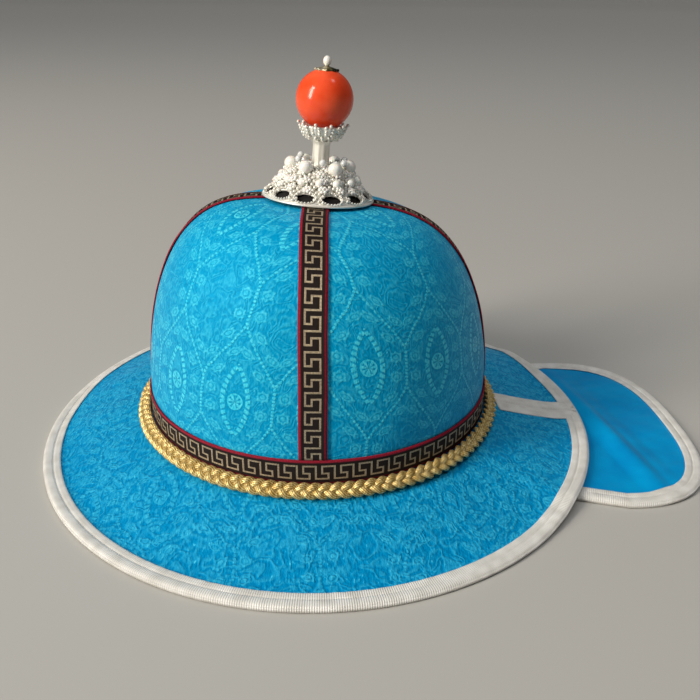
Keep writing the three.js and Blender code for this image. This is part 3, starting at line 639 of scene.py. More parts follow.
def seamRibbon(name, azimuth):
    # the section carried up the outline, a little unevenly
    angles, lengths = outlineRows(0.25, np.interp(-ribbon["topRadius"], -fineRadii, fineLengths), ribbon["step"])
    lengths, (across, out) = lengths[:, None], ribbonSection()
    r, h = domeOutline(angles[:, None], ribbon["gap"] + out)
    wave = 0.18 * ripple(lengths, across * 0.3, 23, len(name))
    section = onCrown(r + wave, h, azimuth, across + 0.25 * ripple(lengths, 0, 50, 3 + len(name)))
    uv = np.stack(np.broadcast_arrays(across + ribbon["width"] / 2, lengths[-1] - lengths), -1)
    piece = sweep(f"ribbon_{name}", section, [keyRibbon], uv)
    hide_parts(f"seam_ribbon_{name}")


for name, azimuth in seams.items():
    seamRibbon(name, azimuth + crown["seamTurn"])

# the band: the same ribbon round the foot, its upper edge at the height of the band's top. Its last row
# repeats the first, so that the pattern doesn't run back
bandAzimuth = np.linspace(0, 360, ribbon["bandSteps"], endpoint=False)[:, None]
across, out = ribbonSection()
bandRadius = crown["radius"] + ribbon["gap"] + out + 0.15 * ripple(bandAzimuth * 1.7, across * 0.4, 30, 5)
section = onCrown(bandRadius, across - ribbon["width"] / 2, bandAzimuth)
section = np.concatenate([section, section[:1]])
bandLength = ribbon["bandRepeats"] * keyRibbonLook["repeat"] * keyRibbonLook["cell"]
alongBand = np.linspace(0, bandLength, ribbon["bandSteps"] + 1)[:, None]
uv = np.stack(np.broadcast_arrays(across + ribbon["width"] / 2, alongBand), -1)
band = makePiece("key_band", section, [gridQuads(*section.shape[:2], closeColumns=True)], [keyRibbon], uv)
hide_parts("crown_band")
print("ribbons done")

# The plaited gold cord
braid = {
    "radius": 103.0,  # middle of the braid
    "height": 4.0,  # of its middle above the brim
    "plaits": 38,
    "across": 2.5,  # how far a strand swings each way
    "depth": 1.15,
    "strand": (1.85, 1.2),  # half width, half thickness of a strand
    "lean": 42,  # degrees that its flat face leans out
    "stepsAPlait": 18,
    "around": 12,
    "length": 647,
}


def braidStrand(number):
    # a flat plait: across = A sin(t + p), depth = D sin(2 (t + p)), with p = 2 pi k / 3; its section is an oval
    # that turns with the strand's own direction in the plane of the plait
    around = 2 * np.pi * np.arange(braid["around"]) / braid["around"]
    share = np.linspace(0, 1, braid["plaits"] * braid["stepsAPlait"] + 1)[:, None]
    azimuth = 2 * np.pi * share
    middle = azimuth * braid["radius"]
    t = braid["plaits"] * azimuth + 2 * np.pi * number / 3
    lean = math.radians(braid["lean"])
    loose = 1 + 0.1 * ripple(middle, 0, 14, 20 + number) * np.sin(azimuth / 2) ** 2
    swing = braid["across"] * braid["plaits"] * np.cos(t) / braid["radius"]
    turned = np.arctan(swing)
    wide = braid["strand"][0] * np.cos(around) / np.sqrt(1 + 0.3 * swing ** 2)
    thick = braid["strand"][1] * np.sin(around) * (1 + 0.1 * ripple(middle, 0, 9, 30 + number))
    sideways = braid["across"] * np.sin(t) * loose + wide * np.cos(turned)
    outwards = braid["depth"] * np.sin(2 * t) * loose + thick
    radius = braid["radius"] + sideways * math.cos(lean) + outwards * math.sin(lean)
    turn = azimuth - wide * np.sin(turned) / radius
    ground = brimHeight(braid["radius"] * np.cos(azimuth), braid["radius"] * np.sin(azimuth)) + brim["sheet"] / 2
    z = ground + braid["height"] - sideways * math.sin(lean) + outwards * math.cos(lean)
    uv = np.stack(np.broadcast_arrays(share * braid["length"], np.arange(braid["around"]) / braid["around"]), -1)
    return np.stack([radius * np.cos(turn), radius * np.sin(turn), z], -1), uv


strands = [braidStrand(k) for k in range(3)]
points = np.concatenate([p.reshape(-1, 3) for p, _ in strands])
uvs = np.concatenate([u.reshape(-1, 2) for _, u in strands])
rows, around = strands[0][0].shape[:2]
faces = [gridQuads(rows, around, closeColumns=True, first=k * rows * around) for k in range(3)]
braidPiece = makePiece("plaited_cord", points, faces, [lurex], uvs)
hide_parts("gold_braid")
print("braid done")


def besideLine(radius, azimuth, aside):
    # points at a radius that lie aside of the line at an azimuth
    turn = np.radians(azimuth) + np.arcsin(aside / radius)
    return radius * np.cos(turn), radius * np.sin(turn)


def brimSheet():
    # rings from inside the crown out to the binding's fold; columns from one side of the slit to the other
    edge = brim["bindingWall"] + 0.3
    radii = np.linspace(crown["radius"] - crown["wall"], brim["radius"] - edge, int(66 / brim["step"]))
    columns = int(2 * math.pi * 140 / brim["step"])
    share = np.linspace(0, 1, columns)[None, :]
    azimuth = slitAt(radii[:, None]) + 360 * share
    aside = (brim["slitHalf"] + edge) * (1 - 2 * share)
    x, y = besideLine(radii[:, None], azimuth, aside)
    middle, radius = brimHeight(x, y), np.hypot(x, y)
    # soft buckles, deepest half way out, none at the hem, the crown or over the flap's end
    free = smooth(*brim["bucklesFrom"], radius) * (1 - smooth(*brim["bucklesTo"], radius))
    buckle = sum(depth * free * ripple(x, y, size, seed) for depth, size, seed in brim["buckles"])
    outer = np.stack([x, y, middle + brim["sheet"] / 2 + buckle], -1)
    innerRadii = np.linspace(radii[0], radii[-1], 14)
    innerX, innerY = besideLine(innerRadii[:, None], slitAt(innerRadii[:, None]) + 360 * share, aside)
    inner = np.stack([innerX, innerY, brimHeight(innerX, innerY) - brim["sheet"] / 2], -1)
    return clothWall("brim_cloth", outer, inner, [brimBrocade, lining], outer[..., :2], inner[..., :2])


brimPiece = brimSheet()
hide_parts("brim")


def pathLength(path):
    # length of a path up to each of its points
    return np.concatenate([[0], np.cumsum(np.linalg.norm(np.diff(path, axis=0), axis=1))])


def movedIn(path, way):
    # a path's points moved to its left, along the mitre of the two sides that meet there
    steps = np.diff(path, axis=0)
    normals = np.stack([-steps[:, 1], steps[:, 0]], -1)
    normals /= np.linalg.norm(normals, axis=1, keepdims=True)
    before, after = np.concatenate([normals[:1], normals]), np.concatenate([normals, normals[-1:]])
    mitre = before + after
    mitre /= np.linalg.norm(mitre, axis=1, keepdims=True)
    return path + mitre * (way / (mitre * before).sum(1))[:, None]


binding = {
    "creaseAt": 5.4,  # a pressed crease; outside it the leaf is rounded
    "round": 0.35,
    "pucker": 0.12,
    "puckerLength": 6.0,
    "step": 1.6,
    # upper leaf, from the sewn edge to the fold: way in from the fold, sunk below the flat leaf
    "leaf": [(9.5, 0.35), (9.2, 0), (8.2, 0), (7.0, 0), (5.8, 0), (5.4, 0.35), (5.0, 0), (4.4, 0), (3.6, 0),
             (2.8, 0), (2.0, 0), (1.1, 0), (0.5, 0.5), (0.12, 0.9)],
    "under": [0.5, 3.5, 7.0, 9.5],  # lower leaf: way in from the fold
}


def foldedRibbon(name, path, heightAt, seed):
    # a U over the sheet's edge: its section in (inward, lift) is carried along the path; the upper leaf is flat
    # from its sewn edge to the crease, then rounded to the fold as round * sin(pi inward / creaseAt)
    near = brim["sheet"] / 2 + 0.3
    over = near + brim["bindingWall"]
    hem, wall, creaseAt = brim["hem"], brim["bindingWall"], binding["creaseAt"]
    leafInward, sunk = np.array(binding["leaf"]).T
    rounded = binding["round"] * np.where(leafInward < creaseAt, np.sin(np.pi * leafInward / creaseAt), 0)
    inward = np.concatenate([leafInward, [0, 0], binding["under"], [hem, 3.0, wall, wall, 3.0, hem]])
    lift = np.concatenate([over + rounded - sunk, [0.5 * over, -0.5 * over], [-over] * len(binding["under"]),
                           [-near] * 3, [near] * 3])
    length = pathLength(path)[:, None]
    columns = np.stack([movedIn(path, d) for d in inward], 1)
    x, y = columns[..., 0], columns[..., 1]
    sewn = (np.arange(len(inward)) < len(leafInward)) * smooth(2, hem, inward)
    pucker = binding["pucker"] * sewn * ripple(length, inward * 0.5, binding["puckerLength"], seed)
    z = np.maximum(heightAt(x, y) + lift + pucker, 0.02)
    around = np.concatenate([[0], np.cumsum(np.hypot(np.diff(inward), np.diff(lift)))])
    uv = np.stack(np.broadcast_arrays(length, around), -1)
    return sweep(name, np.stack([x, y, z], -1), [grosgrain], uv)


def spaced(path, step):
    # a path again, with points about step apart, keeping its corners
    length = pathLength(path)
    at = np.unique(np.concatenate([np.arange(0, length[-1], step), length[[0, -1]]]))
    return np.stack([np.interp(at, length, path[:, k]) for k in (0, 1)], -1)


# out along one side of the slit, round the brim and back along the other side
slitRadii = np.linspace(brim["slitStart"], brim["radius"], 34)
outward = np.stack(besideLine(slitRadii, slitAt(slitRadii), brim["slitHalf"]), -1)
turnEdge = math.degrees(math.asin(brim["slitHalf"] / brim["radius"]))
roundAzimuth = np.linspace(brim["slitAzimuth"] + turnEdge, brim["slitAzimuth"] + 360 - turnEdge, 632)[1:-1]
roundEdge = brim["radius"] * np.stack([np.cos(np.radians(roundAzimuth)), np.sin(np.radians(roundAzimuth))], -1)
inwardSide = np.stack(besideLine(slitRadii, slitAt(slitRadii), -brim["slitHalf"]), -1)[::-1]
brimBinding = foldedRibbon("brim_ribbon", np.concatenate([outward, roundEdge, inwardSide]), brimHeight, 41)
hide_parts("brim_binding")
print("brim done")

flap = {
    "centre": (162.0, -11.0),  # where the straight sides end and the round end starts
    "endLength": 60.0,
    "halfWidth": 81.5,
    "endPower": 2.6,
    "rootRadius": 97.6,
    "rootSpread": 43.0,  # degrees to each side of the hat's back
    "dropRoot": 1.8,  # how far below the brim's middle, at the crown and further out
    "dropEdge": 4.1,
    "dropRadii": (99, 118),
    "freeRadius": 175,
    "sidePower": 2.2,
    "boundFrom": 0.3,  # share of the straight sides that the crown's end of the binding leaves bare
    "fold": [(148, 0), (157, 0.3), (169, 4.2), (177, 1.6), (186, 0.5), (215, 0)],  # height of the soft fold
    "foldSkew": 0.19,
    "ripples": [(0.5, 1.0, 38, 61), (0.14, 0.4, 9, 62)],  # depth, squeeze across, length and seed
    "ripplesFrom": (164, 178),  # radius where they set in
    "ripplesTo": (0.82, 0.95),  # share of the way to the edge where they end
    "rings": (56, 16),  # of the upper and the lower face
}


def flapHeight(x, y):
    # under the brim it follows the brim; beyond it lies flat with one soft fold across, 1 - |y / w|^2.2 high
    radius = np.hypot(x, y)
    drop = flap["dropRoot"] + (flap["dropEdge"] - flap["dropRoot"]) * smooth(*flap["dropRadii"], radius)
    under = brimHeight(x, y) - drop
    side = 1 - np.minimum(np.abs((y - flap["centre"][1]) / flap["halfWidth"]), 1) ** flap["sidePower"]
    free = brim["rest"] + side * eased(flap["fold"], x + flap["foldSkew"] * y)
    beyond = smooth(brim["radius"] - brim["hem"], flap["freeRadius"], radius)
    return np.maximum(under + (free - under) * beyond, brim["rest"])


def flapEdge(sideSteps=60, endSteps=150):
    # straight sides out from the crown's foot, then half a superellipse of power 2.6
    turn = np.radians(np.linspace(-90, 90, endSteps))
    power, sine = 2 / flap["endPower"], np.sin(turn)
    endX = flap["centre"][0] + flap["endLength"] * np.abs(np.cos(turn)) ** power
    endY = flap["centre"][1] + flap["halfWidth"] * np.sign(sine) * np.abs(sine) ** power
    end = np.stack([endX, endY], -1)
    share = np.linspace(0, 1, sideSteps, endpoint=False)[:, None]
    rootLow = np.array(besideLine(flap["rootRadius"], -flap["rootSpread"], 0.0))
    rootHigh = np.array(besideLine(flap["rootRadius"], flap["rootSpread"], 0.0))
    low = rootLow + (end[0] - rootLow) * share
    high = (rootHigh + (end[-1] - rootHigh) * share)[::-1]
    return spaced(np.concatenate([low, end, high]), binding["step"]), rootLow[0]


edgePath, rootX = flapEdge()


def flapFace(edge, count):
    # rings of points that shrink from the edge to the flap's middle
    middle = np.array([flap["centre"][0] - 10, flap["centre"][1]])
    share = np.linspace(0.004, 1, count)[:, None]
    return (*(middle + (edge - middle) * share[..., None]).transpose(2, 0, 1), share)


def flapCloth():
    # the upper and the lower face, each closed at its innermost ring, and a strip round the edge
    rootTurn = np.radians(np.linspace(flap["rootSpread"], -flap["rootSpread"], 62))[1:-1]
    root = flap["rootRadius"] * np.stack([np.cos(rootTurn), np.sin(rootTurn)], -1)
    edge = np.concatenate([movedIn(edgePath, brim["bindingWall"] + 0.3), root])
    x, y, share = flapFace(edge, flap["rings"][0])
    free = smooth(*flap["ripplesFrom"], np.hypot(x, y)) * (1 - smooth(*flap["ripplesTo"], share))
    folds = sum(depth * free * ripple(x * squeeze, y, size, seed)
                for depth, squeeze, size, seed in flap["ripples"])
    outer = np.stack([x, y, flapHeight(x, y) + brim["sheet"] / 2 + folds], -1)
    x, y, _ = flapFace(edge, flap["rings"][1])
    inner = np.stack([x, y, flapHeight(x, y) - brim["sheet"] / 2], -1)
    rows, columns = outer.shape[:2]
    first = rows * columns
    a, b = np.arange(columns), np.roll(np.arange(columns), -1)
    lastOuter, lastInner = (rows - 1) * columns, first + (len(inner) - 1) * columns
    faces = [gridQuads(rows, columns, closeColumns=True),
             gridQuads(len(inner), columns, closeColumns=True, first=first)[:, ::-1],
             np.stack([lastOuter + a, lastOuter + b, lastInner + b, lastInner + a], -1),
             a[None, ::-1], (first + a)[None, :]]
    slots = np.repeat([0, 1, 0, 0, 1], [len(group) for group in faces])
    points = np.concatenate([outer.reshape(-1, 3), inner.reshape(-1, 3)])
    return makePiece("flap_cloth", points, faces, [satin, lining], points[:, :2], slots)


flapPiece = flapCloth()
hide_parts("back_flap")
bound = edgePath[edgePath[:, 0] > rootX + flap["boundFrom"] * (flap["centre"][0] - rootX)]
flapBinding = foldedRibbon("flap_ribbon", bound, flapHeight, 51)
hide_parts("flap_binding")
print("flap done")

# The finial, along its own leaning axis
finial = {
    "seat": 104.0,  # height of its foot above the band's top
    "shift": 0.3,
    "lean": (4.4, 4.0),  # degrees to the back and to the right
    "ball": 15.0,
    "ballCentre": 50.6,
    "endPearl": (69.2, 2.15, 1.2),  # height, radius and how much taller than wide
}
back, right = np.radians(finial["lean"])
lean = np.array(Matrix.Rotation(-right, 3, "X") @ Matrix.Rotation(back, 3, "Y"))


def leaning(points):
    # turned about Y, then X, by the finial's lean and set on the crown
    seat = np.array([finial["shift"], 0, crown["bandTop"] + finial["seat"]])
    return np.asarray(points) @ lean.T + seat


def ballAt(centres, radii, round=16, high=10, stretch=1.0):
    # spheres as one set of arrays: poles are single points, rings of points between them
    centres = np.atleast_2d(centres)
    radii = np.broadcast_to(radii, len(centres))
    polar = np.pi * np.arange(1, high) / high
    turn = 2 * np.pi * np.arange(round) / round
    polar = polar[:, None]
    unit = np.stack(np.broadcast_arrays(np.sin(polar) * np.cos(turn), np.sin(polar) * np.sin(turn),
                                        np.cos(polar) * stretch), -1).reshape(-1, 3)
    unit = np.concatenate([[[0, 0, stretch]], unit, [[0, 0, -stretch]]])
    points = centres[:, None] + unit[None] * radii[:, None, None]
    ring = 1 + np.arange(round)
    nextRing = 1 + (np.arange(round) + 1) % round
    last = 1 + (high - 2) * round
    quads = gridQuads(high - 1, round, closeColumns=True, first=1)[:, ::-1]
    top = np.stack([0 * ring, ring, nextRing], -1)
    bottom = np.stack([0 * ring + len(unit) - 1, last + (nextRing - 1), last + (ring - 1)], -1)
    offset = (np.arange(len(centres)) * len(unit))[:, None, None]
    return points.reshape(-1, 3), [(quads[None] + offset).reshape(-1, 4), (top[None] + offset).reshape(-1, 3),
                                   (bottom[None] + offset).reshape(-1, 3)]


def joined(parts):
    # several (points, faces) sets as one
    points, faces, first = [], [], 0
    for partPoints, partFaces in parts:
        points.append(partPoints)
        faces += [np.asarray(f) + first for f in partFaces]
        first += len(partPoints)
    return np.concatenate(points), faces


def ringOf(count, radius, height, start=0.0):
    # points at even steps round the axis, the first at the share start of a step
    turn = 2 * np.pi * (np.arange(count) + start) / count
    return np.stack(np.broadcast_arrays(radius * np.cos(turn), radius * np.sin(turn), height), -1)


def lathe(profile, sides, waves=0, depth=0.0, fromRadius=0.0, toRadius=0.01):
    # a closed profile of (r, z) corners turned about z; r shrinks by depth (1 - cos(waves t)) / 2 from one
    # radius to another, which makes flutes and petals
    radius, height = np.array(profile, float).T[..., None]
    turn = 2 * np.pi * np.arange(sides) / sides
    radius = radius * (1 - depth * smooth(fromRadius, toRadius, radius) * (0.5 - 0.5 * np.cos(waves * turn)))
    points = ringOf(sides, radius, height).reshape(-1, 3)
    return points, [gridQuads(len(profile), sides, closeRows=True, closeColumns=True)]


def finialPiece(name, parts, material, node):
    points, faces = joined(parts)
    piece = makePiece(name, leaning(points), faces, [material])
    if node:
        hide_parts(node)


cone = {
    "rimRadius": 30.2,
    "rim": 1.2,  # height of the rim
    "bend": (18.5, 9.6),  # radius and height where the cone ends
    "openings": 12,
    "opening": (11.4, 3.7, 3.5),  # width, height along the slope and height of its middle
    "wall": (0.6, 0.7),  # across, up
    "around": 40,  # points round each opening
    "rings": 6,
    "wire": (22, 0.5, 0.55),  # granules round each opening, their distance from it and their radius
    # way in from the rim's radius, height
    "rimProfile": [(0, 0), (0, 0.6), (0.3, 0.95), (1.0, 1.2), (2.0, 1.6), (2.8, 1.4), (3.2, 0.9), (2.9, 0.1)],
    "shoulder": [(18.6, 9.5), (17.5, 12.2), (16.8, 13.0), (8, 13.4), (2.9, 13.4), (2.9, 12.4), (8, 12.3),
                 (16.0, 12.0), (17.6, 9.0)],
    # the black sheet of painted shade behind the openings
    "shadeSheet": [(28.2, 0.1), (28.2, 0.5), (17.0, 8.4), (17.0, 7.6)],
}
coneRise = cone["bend"][1] - cone["rim"]
openingWidth, openingHeight, openingMiddle = cone["opening"]
openingShare = (openingMiddle - cone["rim"]) / coneRise


def coneAt(s):
    # radius and height on the cone for s from 0 at the rim to 1 at the bend
    foot = cone["rimRadius"] - 1
    return foot + (cone["bend"][0] - foot) * s, cone["rim"] + coneRise * s


def onCone(azimuth, s, out, lift):
    radius, height = coneAt(s)
    return np.stack([(radius + out) * np.cos(azimuth), (radius + out) * np.sin(azimuth), height + lift], -1)


def piercedCone():
    # a sector for each opening: rings of points from its oval opening to its four sides, in (azimuth, s)
    sector = 2 * np.pi / cone["openings"]
    t = 2 * np.pi * (np.arange(cone["around"]) + 0.5) / cone["around"]
    square = np.stack([np.cos(t), np.sin(t)]) / np.maximum(np.abs(np.cos(t)), np.abs(np.sin(t)))
    halfTurn = openingWidth / sector / coneAt(openingShare)[0]
    halfS = openingHeight / 2 / coneRise
    oval = np.stack([halfTurn * 0.92 * np.cos(t), 2 * (openingShare + halfS * np.sin(t)) - 1])
    cell = oval + (square - oval) * np.linspace(0, 1, cone["rings"])[:, None, None]
    number = np.arange(cone["openings"])[:, None, None]
    azimuth = (number + 0.5) * sector + cell[None, :, 0] * sector / 2 - np.pi / 2
    s = np.broadcast_to((cell[:, 1] + 1) / 2, azimuth.shape)
    outer, inner = onCone(azimuth, s, 0, 0), onCone(azimuth, s, -cone["wall"][0], -cone["wall"][1])
    faces = gridQuads(2 * cone["rings"], cone["around"], closeRows=True, closeColumns=True)
    return [(np.concatenate([a[::-1].reshape(-1, 3), b.reshape(-1, 3)]), [faces]) for a, b in zip(outer, inner)]


def wireGranules():
    # granules in an oval round each opening, as twisted wire looks
    count, away, _ = cone["wire"]
    middle = ((np.arange(cone["openings"]) + 0.5) * 2 * np.pi / cone["openings"] - np.pi / 2)[:, None]
    t = 2 * np.pi * np.arange(count) / count
    azimuth = middle + (openingWidth / 2 * 0.9 + away) * np.cos(t) / coneAt(openingShare)[0]
    s = openingShare + (openingHeight / 2 + away) * np.sin(t) / coneRise
    return onCone(azimuth, np.broadcast_to(s, azimuth.shape), 0.45, 0.6).reshape(-1, 3)


rimProfile = [(cone["rimRadius"] - inward, height) for inward, height in cone["rimProfile"]]
finialPiece("pierced_cone", piercedCone() + [lathe(rimProfile, 96), lathe(cone["shoulder"], 72),
                                             ballAt(wireGranules(), cone["wire"][2], 7, 5)],
            silver, "finial_base")
# a black sheet behind the openings, which paints the shade inside the cone
finialPiece("cone_shade_sheet", [lathe(cone["shadeSheet"], 48)], shadeSheetMaterial, None)

# beadwork heaped up round the post: a core, granules packed over it by the golden angle, and flowers of pearls
heap = {
    "outline": [(28.6, 2.2), (23.4, 6.2), (20.2, 10.6), (17.8, 14.0), (13.0, 15.8), (5.2, 16.6)],
    "core": [(20.0, 8.8), (19.4, 10.8), (17.0, 13.8), (12.6, 15.2), (4.9, 15.9), (4.9, 13.8), (16.8, 13.6),
             (18.8, 9.8)],
    "granules": 640,
    "granule": (0.75, 1.1),  # smallest and largest radius
    "clearBelow": 5.6,  # no granules over the openings up to this height
    "petals": 6,
    "petalAway": 1.6,
    "petal": (0.8, 1.1),
    "flowerMiddle": 0.9,
    # radius, height, flowers and turn of each ring
    "flowerRings": [(23.2, 7.4, 17, 0.0), (20.2, 11.4, 15, 0.2), (17.4, 15.0, 12, 0.0), (11.5, 17.0, 8, 0.3)],
    "beads": (14, 20.6, 10.4, 2.3),  # count, ring, height, radius
    "pearls": (6, 15.4, 17.05, 3.75),
    "rhinestones": (11, 13.2, 19.4, 1.9),
}


def packedGranules():
    # granule k stands at the turn k pi (3 - sqrt 5), and up the outline so that each has the same area
    outline = np.array(heap["outline"])
    reach = pathLength(outline)
    fine = np.linspace(0, reach[-1], 400)
    area = np.cumsum(np.interp(fine, reach, outline[:, 0]))
    spot = np.interp((np.arange(heap["granules"]) + 0.5) / heap["granules"] * area[-1], area, fine)
    turn = np.arange(heap["granules"]) * math.pi * (3 - math.sqrt(5))
    radius, height = np.interp(spot, reach, outline[:, 0]), np.interp(spot, reach, outline[:, 1])
    overOpening = np.cos(turn * cone["openings"] + math.pi) > -0.2
    packed = np.stack([radius * np.cos(turn), radius * np.sin(turn), height], -1)
    packed = packed[(height > heap["clearBelow"]) | ~overOpening]
    return packed + rng.uniform(-0.3, 0.3, packed.shape)


def flowers():
    # petals in a ring that faces up and outwards round each flower's middle
    centres = np.concatenate([
        ringOf(count, radius, height, start * count / 2 / np.pi)
        for radius, height, count, start in heap["flowerRings"]])
    centres = centres + rng.uniform(-0.5, 0.5, centres.shape)
    outward = centres * [1, 1, 0]
    outward /= np.linalg.norm(outward, axis=1, keepdims=True)
    facing = outward * 0.6 + [0, 0, 0.8]
    sideways = np.cross([0, 0, 1], facing)
    sideways /= np.linalg.norm(sideways, axis=1, keepdims=True)
    upwards = np.cross(facing, sideways)
    turn = (2 * np.pi * np.arange(heap["petals"]) / heap["petals"])[None, :, None]
    around = np.cos(turn) * sideways[:, None] + np.sin(turn) * upwards[:, None]
    petals = (centres[:, None] + heap["petalAway"] * around).reshape(-1, 3)
    return [ballAt(petals, rng.uniform(*heap["petal"], len(petals)), 8, 6),
            ballAt(centres + facing * 0.5, heap["flowerMiddle"], 8, 6)]


packed = packedGranules()
granules = ballAt(packed, rng.uniform(*heap["granule"], len(packed)), 7, 5)
finialPiece("granule_heap", [lathe(heap["core"], 60), granules], silver, None)
count, ring, height, size = heap["beads"]
beads = ballAt(ringOf(count, ring, height, 0.5), size, 14, 9)
finialPiece("bead_flowers", [*flowers(), beads], pearl, "bead_field")
count, ring, height, size = heap["pearls"]
for k, centre in enumerate(ringOf(count, ring, height)):
    finialPiece(f"pearl_{k + 1}", [ballAt(centre, size, 32, 20)], pearl, f"heap_pearl_{k + 1}")
count, ring, height, size = heap["rhinestones"]
stones = ringOf(count, ring, height, 0.4)
stones[:, 2] += 1.2 * np.cos(5 * np.arctan2(stones[:, 1], stones[:, 0]))
finialPiece("rhinestones", [ballAt(stones, size, 6, 4)], crystal, None)

# radius and height, from the axis round to the axis
turned = {
    "post": [(0.001, 13.6), (5.2, 13.7), (4.8, 14.4), (4.6, 16), (4.5, 27.5), (4.9, 29.2), (6, 30), (0.001, 30)],
    "pin": [(0.001, 13.4), (2.5, 13.4), (2.5, -5.8), (11, -6.4), (11, -8), (0.001, -8)],
    "cup": [(0.001, 30.2), (5.4, 30.2), (8, 31), (10.6, 33.6), (12.4, 36.2), (12.7, 37.2), (12.3, 37.4),
            (11.3, 36.8), (8.5, 35.2), (5.6, 35.3), (0.001, 35.3)],
    # the cap: radius and height above the ball, then its stalk
    "cap": [(0.001, 0.1), (3.4, 0.1), (6.2, 0.1), (6.4, 0.4), (6.1, 0.8), (5, 0.9), (3.4, 0.9), (1.5, 1.0)],
    "stalk": [(1.0, 16.3), (0.8, 16.6), (0.001, 16.6)],
    "postFlutes": (10, 0.05),
    "cupPetals": (10, 0.12),
    "capPetals": (8, 0.13),
    "capBeads": (8, 5.7, 14.4, 0.8),
    # rows of stones on the cup: radius, height, count, share of a step that the row is turned
    "cupStones": [(12.6, 37.0, 20, 0.5), (12.1, 35.4, 20, 0.5), (11.2, 33.6, 20, 0.5), (9.6, 32.0, 16, 0),
                  (7.8, 30.9, 12, 0), (12.9, 38.2, 10, 0)],
    "cupStone": 0.95,
}
finialPiece("post", [lathe(turned["post"], 60, *turned["postFlutes"], 2.9, 3.1)], silver, "finial_post")
finialPiece("pin", [lathe(turned["pin"], 32)], silver, "finial_pin")


def cupStones():
    # rows round the cup that follow its petals: r (1 - 0.1 (1 - cos 10 t) / 2)
    rows = []
    for radius, height, count, start in turned["cupStones"]:
        turn = 2 * np.pi * (np.arange(count) + start) / count
        rows.append(ringOf(count, radius * (1 - 0.1 * (0.5 - 0.5 * np.cos(10 * turn))), height, start))
    stones = np.concatenate(rows)
    return stones + rng.uniform(-0.25, 0.25, stones.shape)


cup = lathe(turned["cup"], 120, *turned["cupPetals"], 6, 12.7)
finialPiece("ball_cup", [cup, ballAt(cupStones(), turned["cupStone"], 7, 5)], silver, "finial_cup")
ballTop = finial["ballCentre"]
finialPiece("coral_bead", [ballAt([0, 0, ballTop], finial["ball"], 96, 64)], coral, "coral_ball")
capProfile = [(r, ballTop + math.sqrt((finial["ball"] + out) ** 2 - r * r)) for r, out in turned["cap"]]
capProfile += [(r, ballTop + height) for r, height in turned["stalk"]]
count, ring, height, size = turned["capBeads"]
capBeads = ballAt(ringOf(count, ring, ballTop + height), size, 7, 5)
finialPiece("top_cap", [lathe(capProfile, 64, *turned["capPetals"], 3.4, 6.4), capBeads], tarnished, "ball_cap")
height, size, stretch = finial["endPearl"]
finialPiece("end_pearl", [ballAt([0, 0, height], size, 28, 20, stretch)], pearl, "top_pearl")
print("finial done")

# The floor, in metres: flat to a radius, then turned up in a quarter circle and on as a wall
room = {"flat": 9.0, "bend": 3.0, "height": 7.0, "sides": 96, "colour": "ACAAA5"}
paper = newMaterial("matt paper", Roughness=0.9, Base_Color=toLinear(room["colour"]))[0]
rise = np.linspace(0, math.pi / 2, 13)[1:]
wall = room["flat"] + room["bend"]
floorRadii = np.concatenate([[0.5, 3, room["flat"]], room["flat"] + room["bend"] * np.sin(rise), [wall]])
floorHeights = np.concatenate([[0, 0, 0], room["bend"] * (1 - np.cos(rise)), [room["height"]]])
floorRings = np.concatenate([ringOf(room["sides"], r, h) for r, h in zip(floorRadii, floorHeights)])
floorFaces = gridQuads(len(floorRadii), room["sides"], closeColumns=True)[:, ::-1].tolist()
floorMesh = bpy.data.meshes.new("floor")
floorMesh.from_pydata(floorRings.tolist(), [], floorFaces + [list(range(room["sides"]))])
floorMesh.polygons.foreach_set("use_smooth", [True] * len(floorMesh.polygons))
floorMesh.materials.append(paper)
floor = bpy.data.objects.new("floor", floorMesh)
bpy.context.scene.collection.objects.link(floor)

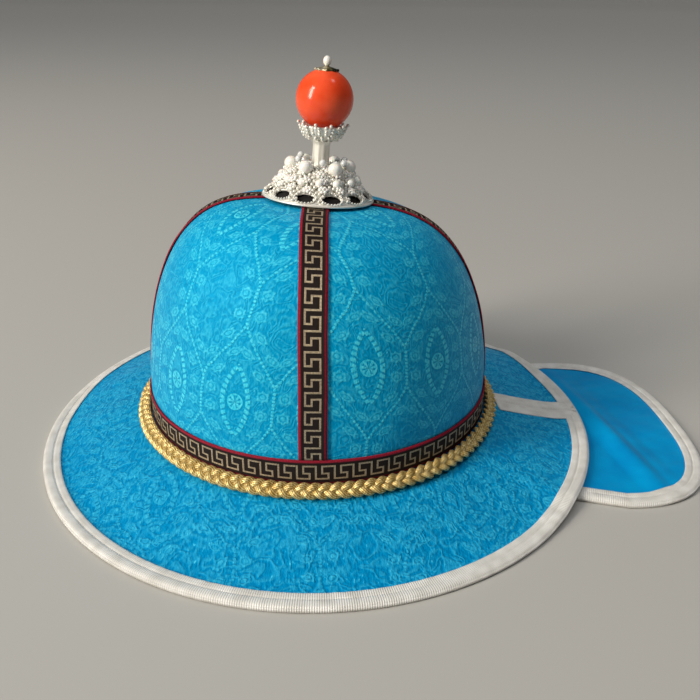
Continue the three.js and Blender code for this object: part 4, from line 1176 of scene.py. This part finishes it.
# A tall window at the front left, a small lamp overhead and a wide even light from above, in a dim blue room
lights = {
    "target": (-0.02, 0, 0.1),
    "window": {"place": (-2.45, -1.3, 1.5), "size": (0.6, 2.2), "power": 118.0, "colour": "FFF8EC"},
    "lamp": {"place": (1.2, -0.05, 2.75), "size": (0.5, 0.5), "power": 4.0, "colour": "FFFFFF"},
    "above": {"strength": 1.2, "angle": 1.0},
    "room": {"strength": 0.06, "colour": "BCCBE6"},
}
world = bpy.data.worlds.new("studio")
bpy.context.scene.world = world
world.use_nodes = True
background = world.node_tree.nodes["Background"].inputs
background["Color"].default_value = toLinear(lights["room"]["colour"])
background["Strength"].default_value = lights["room"]["strength"]


def newLight(name, kind):
    light = bpy.data.objects.new(name, bpy.data.lights.new(name, kind))
    bpy.context.scene.collection.objects.link(light)
    return light


for name in ("window", "lamp"):
    light, look = newLight(name, "AREA"), lights[name]
    light.data.shape, (light.data.size, light.data.size_y) = "RECTANGLE", look["size"]
    light.data.energy, light.data.color = look["power"], toLinear(look["colour"])[:3]
    light.location = look["place"]
    way = Vector(lights["target"]) - Vector(look["place"])
    light.rotation_euler = way.to_track_quat("-Z", "Y").to_euler()
above = newLight("above", "SUN")
above.data.energy, above.data.angle = lights["above"]["strength"], lights["above"]["angle"]
above.visible_glossy = False  # too wide to show as a highlight

# plain colours, as a phone camera gives them
bpy.context.scene.view_settings.view_transform = "Standard"

# place in metres, turns in radians, lens and sensor in mm
cameraSetup = {
    "place": (-0.03057, -0.4073, 0.24624),
    "turns": (0.046, 0.451, 0.012),  # to the right, down, and about the view
    "lens": 39.11,
    "sensor": 36,
}
yaw, pitch, roll = cameraSetup["turns"]
forward = Vector((math.sin(yaw) * math.cos(pitch), math.cos(yaw) * math.cos(pitch), -math.sin(pitch)))
right = Vector((math.cos(yaw), -math.sin(yaw), 0))
up = right.cross(forward)
cameraRight = right * math.cos(roll) + up * math.sin(roll)
cameraUp = up * math.cos(roll) - right * math.sin(roll)
cameraData = bpy.data.cameras.new("camera")
cameraData.lens, cameraData.sensor_width = cameraSetup["lens"], cameraSetup["sensor"]
camera = bpy.data.objects.new("camera", cameraData)
axes = Matrix((cameraRight, cameraUp, -forward)).transposed()
camera.matrix_world = Matrix.Translation(cameraSetup["place"]) @ axes.to_4x4()
bpy.context.scene.collection.objects.link(camera)
bpy.context.scene.camera = camera
